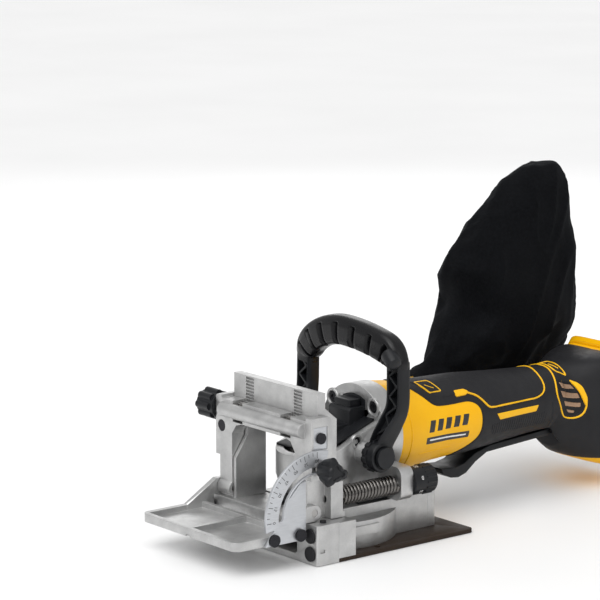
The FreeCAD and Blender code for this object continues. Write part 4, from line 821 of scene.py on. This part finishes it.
def bail(path, half_width, half_depth, power, shape, count):
    """A bar swept along path: half_width lies in the bail's plane, half_depth along Y.

    Both are functions of the share of the path; power is the squareness of the section, and shape moves
    its points.
    """
    rings = []
    for k, centre in enumerate(path):
        before, after = path[max(0, k - 1)], path[min(len(path) - 1, k + 1)]
        tangent = (after - before).normalized()
        wide = Vector((0, 1, 0)).cross(tangent).normalized()
        deep = tangent.cross(wide).normalized()
        share = k / (len(path) - 1)
        w, d = half_width(share), half_depth(share)
        ring = []
        for j in range(count):
            turn = 2 * math.pi * j / count
            c, s = math.cos(turn), math.sin(turn)
            a = math.copysign(abs(c) ** (2 / power), c) * w
            b = math.copysign(abs(s) ** (2 / power), s) * d
            a, b = shape(a, b, w, d, share)
            ring.append(centre + wide * a + deep * b)
        rings.append(ring)
    return loft(rings)


PIVOT_Y, PIVOT_Z = 20.8, 68.0
TRUSS_BAYS, TRUSS_LOW, TRUSS_BAY = 7, 84, 7.4
BOSS = [(0, 9.6), (0.5, 10.8), (2, 11.5), (11.5, 11.5), (12.3, 11.0), (12.6, 10.0), (12.6, 9.0),
        (11.4, 8.7), (11.4, 0.4)]
DETENT = [(0, 11.0), (0.4, 12.6), (4.6, 12.6), (5.0, 11.4)]


def leg(side, top):
    """Points up one leg from its pivot to the corner of the arch."""
    return [(side * 46.8, PIVOT_Y + 0.5, PIVOT_Z - 4), (side * 47.2, PIVOT_Y + 3, PIVOT_Z + 10),
            (side * 50.5, 29.5, 92), (side * 53.6, 33.8, 106), (side * 53.8, 34.3, top - 12),
            (side * 53.6, 34.3, top)]


def leg_width(share):
    """Half the leg's width, which grows from the pivot up."""
    return 5.8 + 2.4 * smoothstep(share, 0.1, 0.6)


def leg_depth(share):
    """Half the leg's depth, which shrinks from the pivot up."""
    return 8.6 - 2.4 * smoothstep(share, 0.25, 0.6)


def notched(radius, turn, along):
    """Cuts twelve notches into the detent ring."""
    return radius - (0.9 if math.sin(turn * 12) > 0.3 else 0.0)


for side, top, name in ((1, 140.0, "near"), (-1, 131.0, "far")):
    path = catmull(leg(side, top), 70)
    tangent = (path[1] - path[0]).normalized()
    front = -1 if tangent.cross(Vector((0, 1, 0)).cross(tangent)).y > 0 else 1

    def channel(a, b, w, d, share):
        """Sinks the front face between its two flanges."""
        inner = smoothstep(w * 0.66 - abs(a), 0.0, 0.8) if (b * front) > 0 else 0.0
        reach = smoothstep(share, 0.10, 0.16) * (1 - smoothstep(share, 0.86, 0.90))
        return a, b - front * 6.0 * inner * reach

    piece(f"handle_leg_{name}", *bail(path, leg_width, leg_depth, 5.0, channel, 56), "handle",
          "black_plastic", BLACK)
    struts = []
    back = Vector((0, 6.2, 0))
    for k in range(TRUSS_BAYS):
        low_z, high_z = TRUSS_LOW + TRUSS_BAY * k, TRUSS_LOW + TRUSS_BAY * (k + 1)
        flip = 1 if k % 2 else -1
        spots = [min(path, key=lambda p: abs(p.z - z)) for z in (low_z, high_z)]
        a = spots[0] + Vector((flip * 4.4, -5.4, 0))
        b = spots[1] + Vector((-flip * 4.4, -5.4, 0))
        push = (b - a).cross(Vector((0, 1, 0))).normalized() * 0.8
        struts.append(loft([[p + push + back, p + push, p - push, p - push + back] for p in (a, b)]))
    piece(f"handle_truss_{name}", *joined(struts), "handle", "black_plastic", BLACK)
    piece(f"handle_boss_{name}", *turned(BOSS, (side * 40.6, PIVOT_Y, PIVOT_Z), (side, 0, 0), 64),
          "handle", "black_plastic", BLACK)
    piece(f"handle_detent_{name}", *turned(DETENT, (side * 40.9, PIVOT_Y, PIVOT_Z), (side, 0, 0), 96,
                                           notched), "handle", "black_plastic", BLACK)

ARCH = [(53.6, 34.3, 134), (53.4, 33.6, 140), (45, 32.6, 148), (28, 32.0, 152.5), (8, 31.6, 155.2),
        (-12, 31.6, 155.4), (-30, 32.0, 150.6), (-44, 33.0, 142.5), (-52.6, 34.2, 132), (-53.6, 34.3, 124)]
GROOVES, GROOVES_START, GROOVES_END = 7, 0.16, 0.90
NUB = [(0, 5.6), (0.6, 6.4), (10, 6.0), (12.2, 5.2), (13, 3.6), (13.2, 0.3)]
arch_path = catmull(ARCH, 190)
arch_tangent = (arch_path[101] - arch_path[100]).normalized()
arch_wide = Vector((0, 1, 0)).cross(arch_tangent).normalized()
arch_up = 1 if arch_wide.z > 0 else -1
arch_front = 1 if arch_tangent.cross(arch_wide).y > 0 else -1


def arch_width(share):
    """Half the grip's width, slimmer towards both legs."""
    return 8.2 + 3.6 * smoothstep(share, 0.05, 0.25) * (1 - smoothstep(share, 0.8, 0.98))


def arch_depth(share):
    """Half the grip's depth, slimmer towards both legs."""
    return 6.2 + 2.0 * smoothstep(share, 0.05, 0.2) * (1 - smoothstep(share, 0.85, 0.98))


def lobes(a, b, w, d, share):
    """Finger lobes: dark narrow hollows across the front and underside of the grip."""
    if not GROOVES_START < share < GROOVES_END:
        return a, b
    phase = (share - GROOVES_START) / (GROOVES_END - GROOVES_START) * GROOVES
    near = abs(phase - round(phase - 0.5) - 0.5)
    cut = math.exp(-(near / 0.12) ** 4)
    facing = smoothstep(-b * arch_front / d, -0.15, 0.35) * smoothstep(w * 0.62 - a * arch_up, 0.0, 3.0)
    facing *= smoothstep(a * arch_up + w * 1.02, 0.0, 3.0)
    return a, b + arch_front * facing * (4.6 * cut - 0.6 * (1 - cut))


piece("handle_arch", *bail(arch_path, arch_width, arch_depth, 3.2, lobes, 72), "handle", "soft_rubber",
      GLOSSY, ["handle_bail", "handle_grip"])
piece("handle_nub", *turned(NUB, (50.5, 27.5, 146), (0.75, -0.2, -0.42), 40), "handle", "black_plastic",
      BLACK)


# ---------------------------------------------------------------- scales and marks

MARK_RADIUS, NUMBER_RADIUS = 47.2, 40.2
quad_x = box("angle_quadrant")[1].x + 0.04


def on_quadrant(value, radius):
    """A place on the quadrant at an angle in degrees from straight ahead."""
    turn = math.radians(value)
    return Vector((quad_x, HINGE_Y - radius * math.cos(turn), HINGE_Z + radius * math.sin(turn)))


marks = []
for value in range(0, 91, 5):
    long = 4.4 if value % 15 == 0 else 2.6
    a, b = on_quadrant(value, MARK_RADIUS), on_quadrant(value, MARK_RADIUS - long)
    push = (b - a).cross(Vector((1, 0, 0))).normalized() * 0.22
    marks.append(([a + push, b + push, b - push, a - push], [[0, 1, 2, 3]]))
for value in range(0, 91, 15):
    spot = on_quadrant(value, NUMBER_RADIUS)
    out = (spot - Vector((quad_x, HINGE_Y, HINGE_Z))).normalized()
    marks.append(lettering(str(value), 2.7, spot, out.cross(Vector((1, 0, 0))) * -1, out))
piece("quadrant_marks", *joined(marks), "fence", "black_plastic", BLACK_INK, smooth=0)

TURRET_X, TURRET_Z, TURRET_SKIN = 49.8, 44.5, 11.12
low, high = box("depth_turret")
marks = []
for number, text in enumerate(("0", "10", "20", "S", "D", "M")):
    turn = math.radians(20 + 60 * number)
    out = Vector((math.cos(turn), 0, math.sin(turn)))
    spot = Vector((TURRET_X, (low.y + high.y) / 2 - 4, TURRET_Z)) + out * TURRET_SKIN
    marks.append(lettering(text, 3.0, spot, (0, 1, 0), out.cross(Vector((0, 1, 0)))))
piece("turret_marks", *joined(marks), "turret", "black_plastic", WHITE_INK, smooth=0)


# ---------------------------------------------------------------- return spring

WIRE, COILS = 1.35, 17
WIRE_SEGMENTS, COIL_STEPS = 10, 26
low, high = box("return_spring")
centre_x, centre_z = (low.x + high.x) / 2, (low.z + high.z) / 2
coil_radius = (high.x - low.x) / 2 - WIRE
rings = []
for k in range(COILS * COIL_STEPS + 1):
    turn = 2 * math.pi * k / COIL_STEPS
    share = k / (COILS * COIL_STEPS)
    y = low.y + WIRE + (high.y - low.y - 2 * WIRE) * share
    out = Vector((math.cos(turn), 0, math.sin(turn)))
    ring = []
    for j in range(WIRE_SEGMENTS):
        around_wire = 2 * math.pi * j / WIRE_SEGMENTS
        ring.append(Vector((centre_x, y, centre_z)) + out * (coil_radius + WIRE * math.cos(around_wire))
                    + Vector((0, WIRE * math.sin(around_wire), 0)))
    rings.append(ring)
spring = piece("spring_coil", *loft(rings), "base", "steel", SPRING_STEEL, ["return_spring"], smooth=60)
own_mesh(spring)


# ---------------------------------------------------------------- dust bag

BAG_SECTIONS = [
    # height, front and back Y, near and far X
    (84.3, 106, 150, -49, -83), (87, 136, 320, -48, -92), (100, 164, 328, -48, -98),
    (124, 177, 332, -38, -100), (152, 187, 331, -38, -98), (182, 189, 331, -38, -98),
    (193, 195, 329, -40, -98), (222, 229, 325, -42, -94), (236, 248, 320, -46, -90),
    (250, 268, 315, -54, -82), (255.5, 284, 302, -62, -74),
]
BAG_SAG, BAG_SHRINK = 9.0, 4.0
BAG_RINGS, BAG_SEGMENTS, BAG_ROUND = 34, 64, 0.9
CREASE_RISE, CREASE_BASE, WRINKLE_RISE = 2.6, 1.6, 0.7


def bag_shell(shrink):
    """The bag as rings from its mouth up to its closed end, shrunk by some millimetres."""
    rings = []
    heights = np.linspace(BAG_SECTIONS[0][0], BAG_SECTIONS[-1][0] - shrink, BAG_RINGS)
    known = np.array(BAG_SECTIONS, float)
    for z in heights:
        front, back, near, far = (np.interp(z, known[:, 0], known[:, c]) for c in range(1, 5))
        cy, cx = (front + back) / 2, (near + far) / 2
        ry, rx = (back - front) / 2 - shrink, (near - far) / 2 - shrink
        ring = []
        for j in range(BAG_SEGMENTS):
            turn = 2 * math.pi * j / BAG_SEGMENTS
            c, s = math.cos(turn), math.sin(turn)
            spot = Vector((cx + rx * math.copysign(abs(s) ** BAG_ROUND, s),
                           cy + ry * math.copysign(abs(c) ** BAG_ROUND, c), z))
            spot.z -= BAG_SAG * smoothstep(spot.y, 155, 225) * (1 - smoothstep(z, 88, 140))
            ring.append(spot)
        rings.append(ring)
    return loft(rings)


def simulated(thing, voxel, pressure, frames, cap, pinned_below):
    """Remeshes a piece and blows it up as cloth, without gravity, moving no point further than cap.

    Voxel, cap and the height below which the cloth is pinned are millimetres.
    """
    scene = bpy.context.scene
    remesh = thing.modifiers.new("remesh", "REMESH")
    remesh.mode, remesh.voxel_size = "VOXEL", voxel * MM
    applied(thing)
    rest = np.array([v.co for v in thing.data.vertices])
    group = thing.vertex_groups.new(name="pin")
    for vertex in thing.data.vertices:
        if vertex.co.z < pinned_below * MM:
            group.add([vertex.index], 1.0, "REPLACE")
    cloth = thing.modifiers.new("cloth", "CLOTH")
    settings = cloth.settings
    settings.vertex_group_mass = "pin"
    settings.use_pressure = True
    settings.uniform_pressure_force = pressure
    settings.effector_weights.gravity = 0
    settings.shrink_min = -0.07
    settings.tension_stiffness = settings.compression_stiffness = 25
    settings.bending_stiffness = 0.4
    cloth.point_cache.frame_end = frames
    for number in range(1, frames + 1):
        scene.frame_set(number)
    moved = np.array([v.co for v in thing.evaluated_get(bpy.context.evaluated_depsgraph_get()).data.vertices])
    step = moved - rest
    length = np.maximum(np.linalg.norm(step, axis=1, keepdims=True), 1e-9)
    moved = rest + step * np.minimum(1.0, cap * MM / length)
    thing.modifiers.remove(cloth)
    scene.frame_set(1)
    for vertex, place in zip(thing.data.vertices, moved):
        vertex.co = place


def applied(thing):
    """Replaces a piece's mesh by what its modifiers make of it."""
    bpy.context.view_layer.update()
    mesh = bpy.data.meshes.new_from_object(thing.evaluated_get(bpy.context.evaluated_depsgraph_get()))
    thing.modifiers.clear()
    thing.data = mesh


bag = piece("dust_bag_cloth", *bag_shell(BAG_SHRINK), "base", "bag_cloth", CLOTH, ["dust_bag"])
simulated(bag, voxel=5.0, pressure=3.0, frames=24, cap=9.0, pinned_below=85.5)
bag.modifiers.new("smooth", "SUBSURF").render_levels = 1
bag.modifiers["smooth"].levels = 1
applied(bag)
for vertex in bag.data.vertices:
    spot = vertex.co / MM
    slack = smoothstep(spot.z, 88, 110) * (1 - 0.5 * smoothstep(spot.z, 225, 255))
    crease = 1 - abs(noise.noise(Vector((spot.x / 34, spot.y / 26 - spot.z / 70, spot.z / 110)))) * 2.2
    fine = noise.noise(Vector((spot.x / 12, spot.y / 11 + spot.z / 50, spot.z / 46)))
    rise = CREASE_RISE * max(0.0, crease) ** 3 - CREASE_BASE + WRINKLE_RISE * fine
    vertex.co += vertex.normal * MM * slack * rise
for face in bag.data.polygons:
    face.use_smooth = True


# ---------------------------------------------------------------- floor

FLOOR_RADIUS, FLOOR_DROP, FLOOR_SIDES = 9.0, 0.0004, 96      # in metres, just under the sole
rim = [(FLOOR_RADIUS * math.cos(2 * math.pi * k / FLOOR_SIDES),
        FLOOR_RADIUS * math.sin(2 * math.pi * k / FLOOR_SIDES), -FLOOR_DROP) for k in range(FLOOR_SIDES)]
floor_mesh = bpy.data.meshes.new("floor")
floor_mesh.from_pydata(rim, [], [list(range(FLOOR_SIDES))])
floor = bpy.data.objects.new("floor", floor_mesh)
bpy.context.scene.collection.objects.link(floor)
floor_mesh.materials.append(floor_finish())
